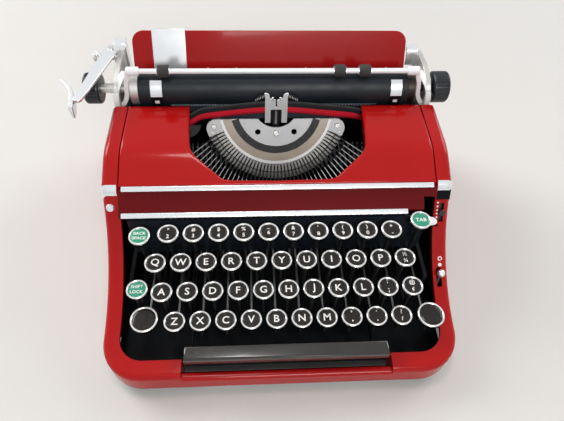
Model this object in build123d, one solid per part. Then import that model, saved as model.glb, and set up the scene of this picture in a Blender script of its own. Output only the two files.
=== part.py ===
from build123d import *
import os
from math import atan2, cos, degrees, floor, radians, sin, tan

# Portable manual typewriter with a four-row keyboard, in millimetres.
# X runs along the platen to the typist's right, Y from the typist to the back, Z up.
# The origin lies on the table in the machine's mid-plane, 134 mm behind the front rail's face.

# Driving sizes of the body
body_half_width = 138.0
front_face_y = -134.0
rear_face_y = 138.0
foot_height = 8.0
foot_radius = 9.0
foot_inset = 26.0
foot_front_y = -104.0
foot_rear_y = 116.0
shell_wall = 3.0
rail_width = 13.0
front_rail_depth = 14.0
front_corner_radius = 32.0
rear_corner_radius = 14.0
rail_top_z = 29.0
sweep_front_y = -118.0
trim_y = -12.0
trim_z = 97.0
brow_radius = 6.0
face_slope = 24.0
roll_radius = 45.0
cover_top_z = 112.0
cover_rear_y = 68.0
deck_z = 78.0
crest_round = 5.0
dip_centre_x = 2.9
dip_half_length = 79.6
dip_rail_depth = 7.0
dip_top_z = 24.0
dip_round = 3.0
seam = 0.6
hinge_y = -6.2
hinge_z = 97.4
hinge_pin_radius = 1.0
hinge_pin_overrun = 0.5
hinge_lug_thickness = 4.0
hinge_lug_depth = 5.0
hinge_lug_drop = 2.4
hinge_lug_rise = 2.2

# Clearances
running_clearance = 0.05
press_clearance = 0.02
seat_gap = 0.3

# Ribbon cover, band and trim
cover_skin = 1.6
skirt_z = 92.0
type_axis_x = 0.0
opening_rear_half = 73.0
opening_mid_half = 70.5
opening_front_half = 42.6
opening_mid_y = 20.0
opening_front_y = -5.8
band_low_y = -30.0
band_low_z = 86.0
band_high_y = -9.4
band_high_z = 99.6
band_thickness = 1.6
trim_width = 4.2
trim_depth = 2.4
lower_trim_gap = 0.5
trim_end_gap = 3.5
cap_skin = 0.9
cap_front_y = -13.5
cap_rear_y = -8.6
cap_drop = 9.0
tab_notch_offset = 5.6
notch_top_y = -18.0
corner_notch_offset = -7.9
corner_notch_y = -27.0
apron_side_gap = 0.5
apron_tuck = 0.5
apron_thickness = 1.5
apron_low_z = 40.0

# Chassis
pan_inset = 8.5
pan_thickness = 1.6
pan_rear_gap = 2.0
cheek_inset = 16.5
cheek_thickness = 3.0
cheek_front_y = -60.0
cheek_step_y = -20.0
cheek_step_run = 12.0
cheek_low_z = 40.0
cheek_high_z = 76.0
back_plate_y = 128.0
back_plate_thickness = 2.0
beam_front_y = 44.0
beam_depth = 12.0
beam_low_z = 40.0
beam_high_z = 46.0
fulcrum_y = 100.0
fulcrum_z = 30.0
fulcrum_radius = 2.5

# Keyboard
key_pitch = 19.05
row_pitch = 18.7
row_rise = 11.3
home_key_x = -90.45
home_row_y = -80.0
home_row_z = 62.0
row_stagger = {"number": 4.7625, "upper": -4.7625, "home": 0.0, "lower": 9.525}
row_step = {"number": 2, "upper": 1, "home": 0, "lower": -1}
key_radius = 8.0
key_height = 3.6
ring_width = 1.5
disc_recess = 0.5
stem_width = 5.0
lever_thickness = 1.5
lever_height = 5.0
eye_radius = 4.5

# Function keys and space bar
shift_radius = 10.25
left_shift = (-103.5, -96.4, 50.7)
right_shift = (113.2, -99.0, 50.7)
shift_bar_y = 70.0
shift_bar_depth = 6.0
shift_bar_low_z = 16.0
shift_bar_height = 4.0
lock_key = (-108.9, -77.2, 62.0)
lock_lever_x = -111.1
backspace = (-106.9, -44.3, 84.6)
tab_place = (108.4, -38.2, 90.0)
tab_blade = (6.0, 9.0, 1.5)
tab_blade_overlap = 1.0
space_length = 152.0
space_depth = 11.0
space_height = 8.0
space_centre = (2.4, -121.0, 40.0)
space_round = 2.0
space_arm_inset_left = 5.0
space_arm_inset_right = 9.0

# Type segment and type bars
print_y = 72.0
print_z = 106.0
segment_tilt = 58.0
segment_chord = 9.5
stem_notch_half = 3.4
stem_notch_drop = 17.0
segment_foot_rise = 8.0
segment_outer = 63.5
segment_ring_inner = 49.0
segment_plate = 3.0
segment_ring_back = 7.0
segment_ring_front = 1.0
bright_ring_inner = 40.0
bright_ring_height = 1.2
plate_hole_radius = 2.2
plate_hole_x = 16.0
plate_hole_drop = 21.0
slot_count = 42
slot_fan = 132.0
slot_width = 1.3
slot_depth = 6.0
bar_thickness = 0.9
bar_pivot_radius = 55.0
bar_pivot_depth = 2.0
bar_length = 50.0
bar_eye = 2.4
bar_width = 3.6
slug_size = (3.0, 7.0, 6.0)
foot_half_width = 20.0
segment_foot_set_back = 2.0
guide_lug_half = 6.0
guide_lug_low_z = 80.0
guide_lug_high_z = 88.0

# Ribbon
spool_x = 98.0
spool_y = 40.0
spool_low_z = 91.0
spool_height = 16.0
spool_radius = 23.0
spool_flange = 1.2
pack_radius = 17.0
spindle_radius = 3.0
spindle_top = 2.0
shelf_reach = 22.0
shelf_front_y = 16.0
shelf_rear_y = 64.0
shelf_thickness = 2.0
ribbon_y = 68.8
ribbon_height = 13.0
ribbon_thickness = 0.4
ribbon_centre_half = 10.5
ribbon_centre_z = 110.0
ribbon_turn_x = 72.0
ribbon_turn_z = 102.5
ribbon_guide_x = 88.2
ribbon_guide_y = 62.7
ribbon_end_x = 104.4
ribbon_end_y = 56.6
ribbon_end_z = 99.0
vibrator_y = 66.8
vibrator_thickness = 1.4
vibrator_half_width = 10.0
vibrator_low_z = 98.6
vibrator_high_z = 126.0
window_half_width = 4.5
window_low_z = 108.0
vibrator_stem_half = 3.0
vibrator_stem_low_z = 78.0

# Carriage, laid out about its own middle, which stands a little left of the machine's
carriage_x = -1.2
platen_y = 87.0
platen_z = 116.0
platen_radius = 16.0
platen_end_gap = 16.5
collar_radius = 13.5
collar_gap = 9.5
shaft_radius = 4.0
left_knob_reach = 16.5
left_knob_length = 13.2
left_knob_radius = 13.0
right_knob_reach = 7.0
right_knob_length = 14.3
right_knob_radius = 13.5
knob_round = 2.0
knob_grooves = 30
knob_groove_radius = 0.7
rail_bar_y = 100.0
rail_stem_depth = 10.0
rail_head_depth = 16.0
rail_low_z = 66.0
rail_neck_z = 81.5
rail_head_height = 4.0
bed_inset = 7.5
bed_front_y = 80.0
bed_rear_y = 114.0
bed_high_z = 94.0
bed_lip = 2.2
bed_wall = 3.0
bed_floor_z = 89.0
lip_front_y = 76.0
lip_high_z = 99.0
upstand_thickness = 3.0
upstand_high_z = 112.0
lug_inset = 20.0
lug_half_width = 6.0
end_plate_thickness = 4.4
end_front_y = 73.5
end_top_z = 130.0
end_low_rise = 0.5
end_heel_y = 116.0
end_rear_y = 125.0
end_rear_low_z = 100.0
end_rear_high_z = 127.0
end_crown_y = 100.0
end_shoulder_y = 83.0
end_shoulder_drop = 3.0
end_brow_run = 2.5
end_brow_drop = 9.0
end_brow_rise = 4.0
bail_pivot_y = 77.5
bail_pivot_z = 104.0
bail_pin_radius = 2.2
bail_arm_gap = 6.5
bail_arm_thickness = 2.0
bail_arm_half_width = 2.8
bail_block_length = 9.0
bail_block_radius = 3.8
bail_rod_y = 82.2
bail_rod_z = 137.0
bail_rod_radius = 2.2
bail_roller_radius = 5.2
bail_roller_length = 9.5
bail_roller_x = (-91.5, 54.2, 75.2)
finger_left_x = -99.3
finger_right_x = 104.0
finger_width = 11.0
finger_gap = 0.4
finger_thickness = 0.6
finger_from = 120.0
finger_to = 229.0
finger_foot_top_z = 103.8
finger_foot_low_z = 94.0
finger_foot_depth = 1.3
table_centre_x = -2.0
table_end_gap = 10.5
table_low_y = 104.0
table_low_z = 108.0
table_lean = 60.0
table_length = 44.0
table_thickness = 1.5
table_corner = 10.0
guide_centre_x = -90.3
guide_width = 28.6
guide_thickness = 1.0
guide_low = 5.0
guide_hook = 10.0
release_y = 118.0
release_z = 104.0
release_rod_radius = 2.0
release_lever_gap = 2.9
release_lever_thickness = 2.4
release_left_top_z = 135.0
release_right_top_z = 129.0
release_tab_shift = 4.0
release_tab = (10.0, 9.0, 2.2)
release_eye = 4.0
bracket_low_z = 126.0
bracket_thickness = 4.0
bracket_reach = 12.1
bracket_knee = (3.0, 8.0)
bracket_front_y = 112.0
bracket_rear_y = 126.0
return_pivot_reach = 5.6
return_pivot_y = 119.0
return_pin_radius = 2.5
return_pin_top = 1.0
return_tip_run = (-16.2, -64.8)
return_width = 10.0
return_thickness = 2.5
paddle_back_run = (-35.5, -39.0)
paddle_mid_run = (-22.5, -57.0)
paddle_front_run = (-20.5, -73.5)
paddle_drop = 12.0
paddle_thickness = 2.0

# Drum and side controls
drum_x = -92.0
drum_z = 50.0
drum_radius = 20.0
drum_front_y = 112.0
drum_width = 12.0
drum_pin_radius = 4.0
selector_y = -63.0
selector_inset = 8.1
selector_stem_half = 1.3
selector_pivot_z = 25.0
selector_pin_radius = 1.5
selector_eye = 4.0
selector_thickness = 2.6
selector_ball_radius = 3.2
selector_ball_z = 49.0
selector_slot_half = 7.0
selector_slot_width = 4.0
selector_post_thickness = 2.5
touch_inset = 7.0
touch_y = -23.0
touch_slot_half = 8.0
touch_slot_width = 3.6
touch_knob_radius = 2.6
touch_knob_height = 2.4
touch_stem_radius = 1.2
touch_shoe = (7.0, 16.0, 1.5)

# Places that follow from the sizes above
shell_bottom_z = foot_height
well_half_width = body_half_width - rail_width
foot_x = body_half_width - foot_inset
pan_half_width = body_half_width - pan_inset
cheek_x = body_half_width - cheek_inset - cheek_thickness
apron_half_width = cheek_x - apron_side_gap
trim_half_length = well_half_width - trim_end_gap
notch_left_x = tab_place[0] + tab_notch_offset
corner_notch_x = tab_place[0] + corner_notch_offset
lower_trim_right_x = corner_notch_x - lower_trim_gap
shelf_inner_x = spool_x - shelf_reach
selector_x = body_half_width - selector_inset
touch_x = body_half_width - touch_inset
bed_half_length = body_half_width - bed_inset
bed_low_z = rail_neck_z - seat_gap - bed_lip
end_outer_x = bed_half_length + end_plate_thickness
platen_half_length = bed_half_length - platen_end_gap
collar_end = bed_half_length - collar_gap
left_knob_inner = bed_half_length + left_knob_reach
right_knob_inner = bed_half_length + right_knob_reach
bail_arm_x = bed_half_length - bail_arm_gap
table_half_width = bed_half_length - table_end_gap
lug_x = table_half_width - lug_inset
release_lever_x = bed_half_length - release_lever_gap
return_pivot_x = -end_outer_x - return_pivot_reach
pan_top_z = shell_bottom_z + pan_thickness
segment_plane = Plane(
    origin=(type_axis_x, print_y, print_z),
    x_dir=(1, 0, 0),
    z_dir=(0, -sin(radians(segment_tilt)), cos(radians(segment_tilt))),
)
table_plane = Plane(
    origin=(table_centre_x, table_low_y, table_low_z),
    x_dir=(1, 0, 0),
    z_dir=(0, -sin(radians(table_lean)), cos(radians(table_lean))),
)
sweep_end_slope = 2 * degrees(atan2(trim_z - rail_top_z, trim_y - sweep_front_y))
sweep_radius = (trim_y - sweep_front_y) / sin(radians(sweep_end_slope))


def block(x0, x1, y0, y1, z0, z1):
    """A box between two corners."""
    centre = Pos((x0 + x1) / 2, (y0 + y1) / 2, (z0 + z1) / 2)
    return centre * Box(abs(x1 - x0), abs(y1 - y0), abs(z1 - z0))


def rod_along_x(x0, x1, y, z, radius):
    """A round bar parallel to the platen."""
    return Pos((x0 + x1) / 2, y, z) * Rot(0, 90, 0) * Cylinder(radius, abs(x1 - x0))


def side_plate(face, x, thickness):
    """A plate cut to a side-view outline, centred on x."""
    return extrude(Plane.YZ.offset(x) * face, thickness / 2, both=True)


def capsule(y0, z0, y1, z1, half_width):
    """Side-view outline of a strip with round ends."""
    strip = SlotCenterToCenter(((y1 - y0) ** 2 + (z1 - z0) ** 2) ** 0.5, 2 * half_width)
    turn = degrees(atan2(z1 - z0, y1 - y0))
    return Pos((y0 + y1) / 2, (z0 + z1) / 2) * Rot(0, 0, turn) * strip


def upper_crest():
    """Side-view line of the cover: front face, roll and flat top, from the brow backwards."""
    sweep = TangentArc((sweep_front_y, rail_top_z), (trim_y, trim_z), tangent=(1, 0))
    brow = JernArc(sweep @ 1, sweep % 1, brow_radius, face_slope - sweep_end_slope)
    roll_rise = roll_radius * (1 - cos(radians(face_slope)))
    face_run = (cover_top_z - roll_rise - (brow @ 1).Y) / sin(radians(face_slope))
    face = Line(brow @ 1, (brow @ 1) + (brow % 1) * face_run)
    roll = JernArc(face @ 1, face % 1, roll_radius, -face_slope)
    top = Line(roll @ 1, (cover_rear_y, cover_top_z))
    return [sweep, brow], [face, roll, top]


def side_outline():
    """Side view of the whole body: front rail, sweep up the side, cover height, rear deck."""
    lower, upper = upper_crest()
    front = Polyline(
        (front_face_y, shell_bottom_z),
        (front_face_y, rail_top_z),
        (sweep_front_y, rail_top_z),
    )
    rear = Polyline(
        (cover_rear_y, cover_top_z),
        (cover_rear_y, deck_z),
        (rear_face_y, deck_z),
        (rear_face_y, shell_bottom_z),
        (front_face_y, shell_bottom_z),
    )
    return make_face([front, *lower, *upper, rear])


def crest_z(y):
    """Height of the side frame's top line along the concave sweep."""
    along = min(max(y, sweep_front_y), trim_y) - sweep_front_y
    return rail_top_z + sweep_radius - (sweep_radius**2 - along**2) ** 0.5


def crest_slope(y):
    """Angle of the side frame's top line along the concave sweep, in degrees."""
    return degrees(atan2(y - sweep_front_y, sweep_radius - (crest_z(y) - rail_top_z)))


def outer_body(grow=0.0):
    """The body as one rounded block, grown outwards for what lies on it."""
    face = side_outline()
    if grow:
        face = offset(face, grow, kind=Kind.INTERSECTION)
    half = body_half_width + grow
    body = extrude(Plane.YZ * face, half, both=True)
    corners = body.edges().filter_by(Axis.Z).group_by(Axis.Y)[0]
    body = fillet(corners, front_corner_radius + grow)
    corners = body.edges().filter_by(Axis.Z).group_by(Axis.Y)[-1]
    body = fillet(corners, rear_corner_radius + grow)
    crest = []
    for edge in body.edges():
        middle = edge.center()
        on_side = abs(abs(middle.X) - half) < 0.01 and middle.Z > rail_top_z - 1
        on_front = middle.Y < front_face_y + front_corner_radius and middle.Z > rail_top_z - 1
        if (on_side or on_front) and middle.Y < cover_rear_y - 1:
            crest.append(edge)
    return fillet(crest, crest_round + grow)


def well_plan(half_width, front_y, rear_y, front_corner, rear_corner):
    """Plan of the opening inside the body's rails."""
    plan = Pos(0, (front_y + rear_y) / 2) * Rectangle(2 * half_width, rear_y - front_y)
    plan = fillet(plan.vertices().group_by(Axis.Y)[0], front_corner)
    return fillet(plan.vertices().group_by(Axis.Y)[-1], rear_corner)


def body_shell():
    """Front rail, side frames and rear wall in one pressed shell, with the lid's hinge pins."""
    body = outer_body()
    inner_front = front_face_y + front_rail_depth
    inner_rear = rear_face_y - shell_wall
    hollow_half = body_half_width - shell_wall
    rear_corner = rear_corner_radius - shell_wall
    hollow_face = offset(side_outline(), -shell_wall, kind=Kind.INTERSECTION)
    hollow = extrude(Plane.YZ * hollow_face, hollow_half, both=True)
    hollow_front = front_face_y + shell_wall
    hollow_corner = front_corner_radius - shell_wall
    plan = well_plan(hollow_half, hollow_front, inner_rear, hollow_corner, rear_corner)
    hollow &= extrude(plan, cover_top_z)
    foot_void = extrude(Pos(0, 0, shell_bottom_z) * plan, 2 * shell_wall)
    behind_rail = block(
        -body_half_width, body_half_width, sweep_front_y, rear_face_y, 0, cover_top_z
    )
    body -= (hollow + foot_void) & behind_rail
    well_corner = front_corner_radius - rail_width
    well = well_plan(well_half_width, inner_front, inner_rear, well_corner, rear_corner)
    body -= extrude(well, 2 * cover_top_z)
    dip_left = dip_centre_x - dip_half_length
    dip_right = dip_centre_x + dip_half_length
    dip_rear = front_face_y + dip_rail_depth
    body -= block(dip_left, dip_right, front_face_y - 1, inner_front + 1, 0, cover_top_z)
    low_rail = Pos((front_face_y + dip_rear) / 2, (shell_bottom_z + dip_top_z) / 2)
    low_rail *= Rectangle(dip_rail_depth, dip_top_z - shell_bottom_z)
    low_rail = fillet(low_rail.vertices().group_by(Axis.Y)[-1], dip_round)
    body += side_plate(low_rail, dip_centre_x, 2 * dip_half_length)
    body -= block(
        selector_x - selector_slot_width / 2,
        selector_x + selector_slot_width / 2,
        selector_y - selector_slot_half,
        selector_y + selector_slot_half,
        crest_z(selector_y - selector_slot_half) - 2 * shell_wall,
        cover_top_z,
    )
    body -= touch_place() * Box(touch_slot_width, 2 * touch_slot_half, 6 * shell_wall)
    for side in (-1, 1):
        body += block(
            side * well_half_width,
            side * (well_half_width + hinge_lug_thickness),
            hinge_y - hinge_lug_depth / 2,
            hinge_y + hinge_lug_depth / 2,
            hinge_z - hinge_lug_drop,
            hinge_z + hinge_lug_rise,
        )
        pin_end = well_half_width - seam - cover_skin - hinge_pin_overrun
        pin_root = well_half_width + hinge_lug_thickness
        body += rod_along_x(side * pin_end, side * pin_root, hinge_y, hinge_z, hinge_pin_radius)
    return body


def touch_place():
    """Frame on the right side frame's slope, with its Y up the slope."""
    return Pos(touch_x, touch_y, crest_z(touch_y)) * Rot(crest_slope(touch_y), 0, 0)


def ribbon_cover():
    """Lid over the ribbon spools, cut away above the type basket and bored for its hinge pins."""
    upper = upper_crest()[1]
    start = upper[0] @ 0
    closing = Polyline(
        (cover_rear_y, cover_top_z),
        (cover_rear_y, skirt_z),
        (start.X, skirt_z),
        (start.X, start.Y),
    )
    face = make_face([*upper, closing])
    half = well_half_width - seam
    cover = extrude(Plane.YZ * face, half, both=True)
    inner_face = offset(face, -cover_skin, kind=Kind.INTERSECTION)
    inner = extrude(Plane.YZ * inner_face, half - cover_skin, both=True)
    for back, down in ((0, 0), (1, 0), (0, 1), (1, 1)):
        cover -= Pos(0, 3 * cover_skin * back, -3 * cover_skin * down) * inner
    opening = Polygon(
        (-opening_rear_half, cover_rear_y + 1),
        (-opening_mid_half, opening_mid_y),
        (-opening_front_half, opening_front_y),
        (opening_front_half, opening_front_y),
        (opening_mid_half, opening_mid_y),
        (opening_rear_half, cover_rear_y + 1),
        align=None,
    )
    cover -= Pos(type_axis_x, 0, 0) * extrude(opening, 2 * cover_top_z)
    bore = hinge_pin_radius + running_clearance
    return cover - rod_along_x(-body_half_width, body_half_width, hinge_y, hinge_z, bore)


def band_turn():
    """Slope of the front band in degrees."""
    return degrees(atan2(band_high_z - band_low_z, band_high_y - band_low_y))


def front_band():
    """Sloping panel between the two bright strips, notched for the tabulator key."""
    length = ((band_high_y - band_low_y) ** 2 + (band_high_z - band_low_z) ** 2) ** 0.5
    strip_length = length - trim_width / 2
    strip = Pos(strip_length / 2, -band_thickness / 2) * Rectangle(strip_length, band_thickness)
    face = Pos(band_low_y, band_low_z) * Rot(0, 0, band_turn()) * strip
    half = well_half_width - seam
    band = side_plate(face, 0, 2 * half)
    outside = 2 * half
    ahead = front_face_y
    band -= block(notch_left_x, outside, ahead, notch_top_y, 0, cover_top_z)
    return band - block(corner_notch_x, outside, ahead, corner_notch_y, 0, cover_top_z)


def trim_strip(y, z, x0, x1, inset):
    """One bright strip lying on the band, set in from the band's edge."""
    profile = RectangleRounded(trim_width, trim_depth, trim_depth / 3)
    face = Pos(y, z) * Rot(0, 0, band_turn()) * Pos(inset, trim_depth / 2) * profile
    return Pos((x0 + x1) / 2, 0, 0) * side_plate(face, 0, x1 - x0)


def trim_strips():
    """Two bright strips across the band and a cap over each side frame."""
    inset = trim_width / 2
    strips = [
        trim_strip(band_low_y, band_low_z, -trim_half_length, lower_trim_right_x, inset),
        trim_strip(band_high_y, band_high_z, -trim_half_length, trim_half_length, -inset),
    ]
    skin = outer_body(cap_skin) - outer_body()
    for side in (-1, 1):
        inner = side * (well_half_width + seam)
        outer = side * 2 * body_half_width
        strips.append(skin & block(inner, outer, cap_front_y, cap_rear_y, trim_z - cap_drop, cover_top_z))
    return Compound(strips)


def front_apron():
    """Black plate that closes the front below the band."""
    rear = band_low_y + apron_tuck
    top = band_low_z - band_thickness - seat_gap
    return block(-apron_half_width, apron_half_width, rear - apron_thickness, rear, apron_low_z, top)


def rubber_feet():
    """Four round feet under the pan."""
    places = [(x, y) for x in (-foot_x, foot_x) for y in (foot_front_y, foot_rear_y)]
    return Compound([Pos(x, y, foot_height / 2) * Cylinder(foot_radius, foot_height) for x, y in places])


def chassis():
    """Pan, cheeks, back plate, segment beam, lever fulcrum, spool shelves and pins."""
    front = sweep_front_y + seat_gap
    rear = rear_face_y - shell_wall - pan_rear_gap
    frame = block(-pan_half_width, pan_half_width, front, rear, shell_bottom_z, pan_top_z)
    cheek = Polygon(
        (cheek_front_y, pan_top_z),
        (cheek_front_y, cheek_low_z),
        (cheek_step_y, cheek_low_z),
        (cheek_step_y + cheek_step_run, cheek_high_z),
        (back_plate_y, cheek_high_z),
        (back_plate_y, pan_top_z),
        align=None,
    )
    shelf_z = spool_low_z - seat_gap - shelf_thickness
    for side in (-1, 1):
        middle = side * (cheek_x + cheek_thickness / 2)
        frame += side_plate(cheek, middle, cheek_thickness)
        inner = side * shelf_inner_x
        outer = side * (cheek_x + cheek_thickness)
        shelf = block(inner, outer, shelf_front_y, shelf_rear_y, shelf_z, shelf_z + shelf_thickness)
        post = block(side * cheek_x, outer, shelf_front_y, shelf_rear_y, cheek_high_z, shelf_z)
        spindle_rise = spool_height + shelf_thickness + spindle_top
        spindle = Pos(side * spool_x, spool_y, shelf_z + spindle_rise / 2)
        frame += [shelf, post, spindle * Cylinder(spindle_radius, spindle_rise)]
    plate_front = back_plate_y - back_plate_thickness
    beam_rear = beam_front_y + beam_depth
    frame += block(-cheek_x, cheek_x, plate_front, back_plate_y, pan_top_z, cheek_high_z)
    frame += block(-cheek_x, cheek_x, beam_front_y, beam_rear, beam_low_z, beam_high_z)
    frame += rod_along_x(-cheek_x, cheek_x, fulcrum_y, fulcrum_z, fulcrum_radius)
    pin_length = back_plate_y - drum_front_y
    pin = Pos(drum_x, back_plate_y - pin_length / 2, drum_z) * Rot(90, 0, 0)
    frame += pin * Cylinder(drum_pin_radius, pin_length)
    post_outer = selector_x - selector_thickness / 2 - seat_gap
    post_inner = post_outer - selector_post_thickness
    frame += block(
        post_inner,
        post_outer,
        selector_y - selector_eye,
        selector_y + selector_eye,
        pan_top_z,
        selector_pivot_z + selector_eye,
    )
    pin_end = selector_x + selector_thickness / 2 + seat_gap
    frame += rod_along_x(post_inner, pin_end, selector_y, selector_pivot_z, selector_pin_radius)
    return frame


def key_place(row, column):
    """Centre of a key's top."""
    x = home_key_x + row_stagger[row] + column * key_pitch
    y = home_row_y + row_step[row] * row_pitch
    z = home_row_z + row_step[row] * row_rise
    return x, y, z


def lever_profile(front_y, stem_y, stem_top_z):
    """Side view of a key lever with its eye on the fulcrum and its stem under the key."""
    half = lever_height / 2
    profile = Polygon(
        (fulcrum_y, fulcrum_z - half),
        (fulcrum_y, fulcrum_z + half),
        (stem_y + stem_width / 2, fulcrum_z + half),
        (stem_y + stem_width / 2, stem_top_z),
        (front_y, stem_top_z),
        (front_y, fulcrum_z - half),
        align=None,
    )
    profile += Pos(fulcrum_y, fulcrum_z) * Circle(eye_radius)
    return profile - Pos(fulcrum_y, fulcrum_z) * Circle(fulcrum_radius + running_clearance)


def key_cup(place, radius):
    """Round key top: a rim with a sunk disc."""
    x, y, z = place
    cup = Pos(x, y, z - key_height / 2) * Cylinder(radius, key_height)
    sunk = Pos(x, y, z - disc_recess / 2) * Cylinder(radius - ring_width, disc_recess)
    return cup - sunk


def key(place, radius, lever_x):
    """A key top on its stem and lever."""
    y, z = place[1], place[2]
    profile = lever_profile(y - stem_width / 2, y, z - key_height)
    return side_plate(profile, lever_x, lever_thickness) + key_cup(place, radius)


def character_key(row, column):
    """One letter, figure or sign key."""
    place = key_place(row, column)
    return key(place, key_radius, place[0])


def figure_keys():
    """Ten number-row keys and the six sign keys beside the letters."""
    places = [("number", n) for n in range(10)] + [("upper", 10), ("home", 9), ("home", 10)]
    places += [("lower", n) for n in (7, 8, 9)]
    return Compound([character_key(row, column) for row, column in places])


def shift_keys():
    """Both shift keys on one cross bar."""
    low = shift_bar_low_z
    rear = shift_bar_y + shift_bar_depth
    bar = block(left_shift[0], right_shift[0], shift_bar_y, rear, low, low + shift_bar_height)
    for place in (left_shift, right_shift):
        half = lever_thickness / 2
        web = block(place[0] - half, place[0] + half, shift_bar_y, rear, low, fulcrum_z)
        bar += [key(place, shift_radius, place[0]), web]
    return bar


def tab_key():
    """Tabulator key with the small blade beside it."""
    blade_x = tab_place[0] + key_radius + tab_blade[0] / 2 - tab_blade_overlap
    blade_z = tab_place[2] - key_height + tab_blade[2] / 2
    blade = Pos(blade_x, tab_place[1], blade_z) * Box(*tab_blade)
    return key(tab_place, key_radius, tab_place[0]) + blade


def space_bar():
    """Long bar on two arms that straddle the key levers."""
    x, y, z = space_centre
    bar = Pos(x, y, z) * Box(space_length, space_depth, space_height)
    bar = fillet(bar.edges().group_by(Axis.Z)[-1], space_round)
    under = z - space_height / 2
    left = between_levers(x - space_length / 2 + space_arm_inset_left)
    right = between_levers(x + space_length / 2 - space_arm_inset_right)
    for arm_x in (left, right):
        profile = lever_profile(y - stem_width / 2, y, under)
        bar += side_plate(profile, arm_x, lever_thickness)
    return bar


def between_levers(x):
    """The gap between two key levers nearest to x. Levers stand a quarter of a key pitch apart."""
    lever_pitch = key_pitch / 4
    return home_key_x + (floor((x - home_key_x) / lever_pitch) + 0.5) * lever_pitch


def below_chord(reach):
    """The half of the segment's plane below its straight edge."""
    return Pos(0, -segment_chord - reach / 2) * Rectangle(2 * reach, reach)


def typebar_segment():
    """Slotted half-ring that carries the type bars, with its plate, foot and guide lug."""
    under = below_chord(2 * segment_outer)
    plate = extrude(segment_plane * (Circle(bright_ring_inner) & under), -segment_plate)
    for side in (-1, 1):
        hole = Pos(side * plate_hole_x, -plate_hole_drop) * Circle(plate_hole_radius)
        plate -= extrude(segment_plane * hole, segment_plate, both=True)
    notch = Pos(0, -stem_notch_drop / 2) * Rectangle(2 * stem_notch_half, stem_notch_drop)
    plate -= extrude(segment_plane * notch, segment_plate, both=True)
    bright = (Circle(segment_ring_inner) - Circle(bright_ring_inner)) & under
    raised = segment_plane.offset(bright_ring_height) * bright
    ring = (Circle(segment_outer) - Circle(segment_ring_inner)) & under
    front = segment_plane.offset(segment_ring_front) * ring
    segment = plate + extrude(raised, -segment_plate - bright_ring_height)
    segment += extrude(front, -segment_ring_back - segment_ring_front)
    reach = segment_outer - segment_ring_inner + 2
    for turn in slot_turns():
        slot = Box(slot_width, reach, slot_depth + 2)
        place = Pos(0, -segment_ring_inner - reach / 2 + 1, 1 + segment_ring_front - slot_depth / 2)
        segment -= Location(segment_plane) * Rot(0, 0, turn) * place * slot
    foot_front = beam_front_y + segment_foot_set_back
    foot_rear = beam_front_y + beam_depth
    left = type_axis_x - foot_half_width
    right = type_axis_x + foot_half_width
    segment += block(left, right, foot_front, foot_rear, beam_high_z, beam_high_z + segment_foot_rise)
    lug_front = print_y - (print_z - guide_lug_low_z) / tan(radians(segment_tilt))
    segment += block(
        type_axis_x - guide_lug_half,
        type_axis_x + guide_lug_half,
        lug_front + segment_plate,
        vibrator_y - seat_gap,
        guide_lug_low_z,
        guide_lug_high_z,
    )
    return segment


def slot_turns():
    """Angle of each type-bar slot about the printing point."""
    return [slot_fan * (n / (slot_count - 1) - 0.5) for n in range(slot_count)]


def typebars():
    """All type bars at rest, lying forwards from the segment with their slugs at the front."""
    lean = segment_tilt
    along = (cos(radians(lean)), sin(radians(lean)))
    pivot = (bar_pivot_radius, -bar_pivot_depth)
    tip = (pivot[0] + bar_length * along[0], pivot[1] + bar_length * along[1])
    outline = capsule(*pivot, *tip, bar_width / 2) + Pos(*pivot) * Circle(bar_eye)
    blade = extrude(outline, bar_thickness / 2, both=True)
    slug = Pos(*tip) * Rot(0, 0, lean) * Box(slug_size[1], slug_size[2], slug_size[0])
    bar = blade + slug
    upright = Plane(origin=(0, 0, 0), x_dir=(0, -1, 0), z_dir=(-1, 0, 0))
    bars = []
    for turn in slot_turns():
        bars.append(Location(segment_plane) * Rot(0, 0, turn) * Location(upright) * bar)
    return Compound(bars)


def ribbon_strip(start, end):
    """One straight stretch of ribbon between two points on its centre line."""
    half = ribbon_height / 2
    corners = [
        (start[0], start[1], start[2] - half),
        (end[0], end[1], end[2] - half),
        (end[0], end[1], end[2] + half),
        (start[0], start[1], start[2] + half),
    ]
    face = make_face(Polyline(*corners, close=True))
    return extrude(face, ribbon_thickness / 2, both=True)


def ribbon():
    """Inked ribbon from spool to spool across the printing point."""
    half = ribbon_centre_half
    left = (type_axis_x - half, ribbon_y, ribbon_centre_z)
    right = (type_axis_x + half, ribbon_y, ribbon_centre_z)
    strip = ribbon_strip(left, right)
    for side, near in ((-1, left), (1, right)):
        turn = (side * ribbon_turn_x, ribbon_y, ribbon_turn_z)
        end = (side * ribbon_end_x, ribbon_end_y, ribbon_end_z)
        guide = (side * ribbon_guide_x, ribbon_guide_y, ribbon_end_z)
        strip += [ribbon_strip(near, turn), ribbon_strip(turn, guide), ribbon_strip(guide, end)]
    return strip


def ribbon_spool(side):
    """Two flanges, the wound ribbon between them and a bore for the spindle."""
    spool = Pos(0, 0, spool_height / 2) * Cylinder(pack_radius, spool_height)
    for z in (spool_flange / 2, spool_height - spool_flange / 2):
        spool += Pos(0, 0, z) * Cylinder(spool_radius, spool_flange)
    spool -= Pos(0, 0, spool_height / 2) * Cylinder(spindle_radius + running_clearance, spool_height)
    return Pos(side * spool_x, spool_y, spool_low_z) * spool


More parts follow.
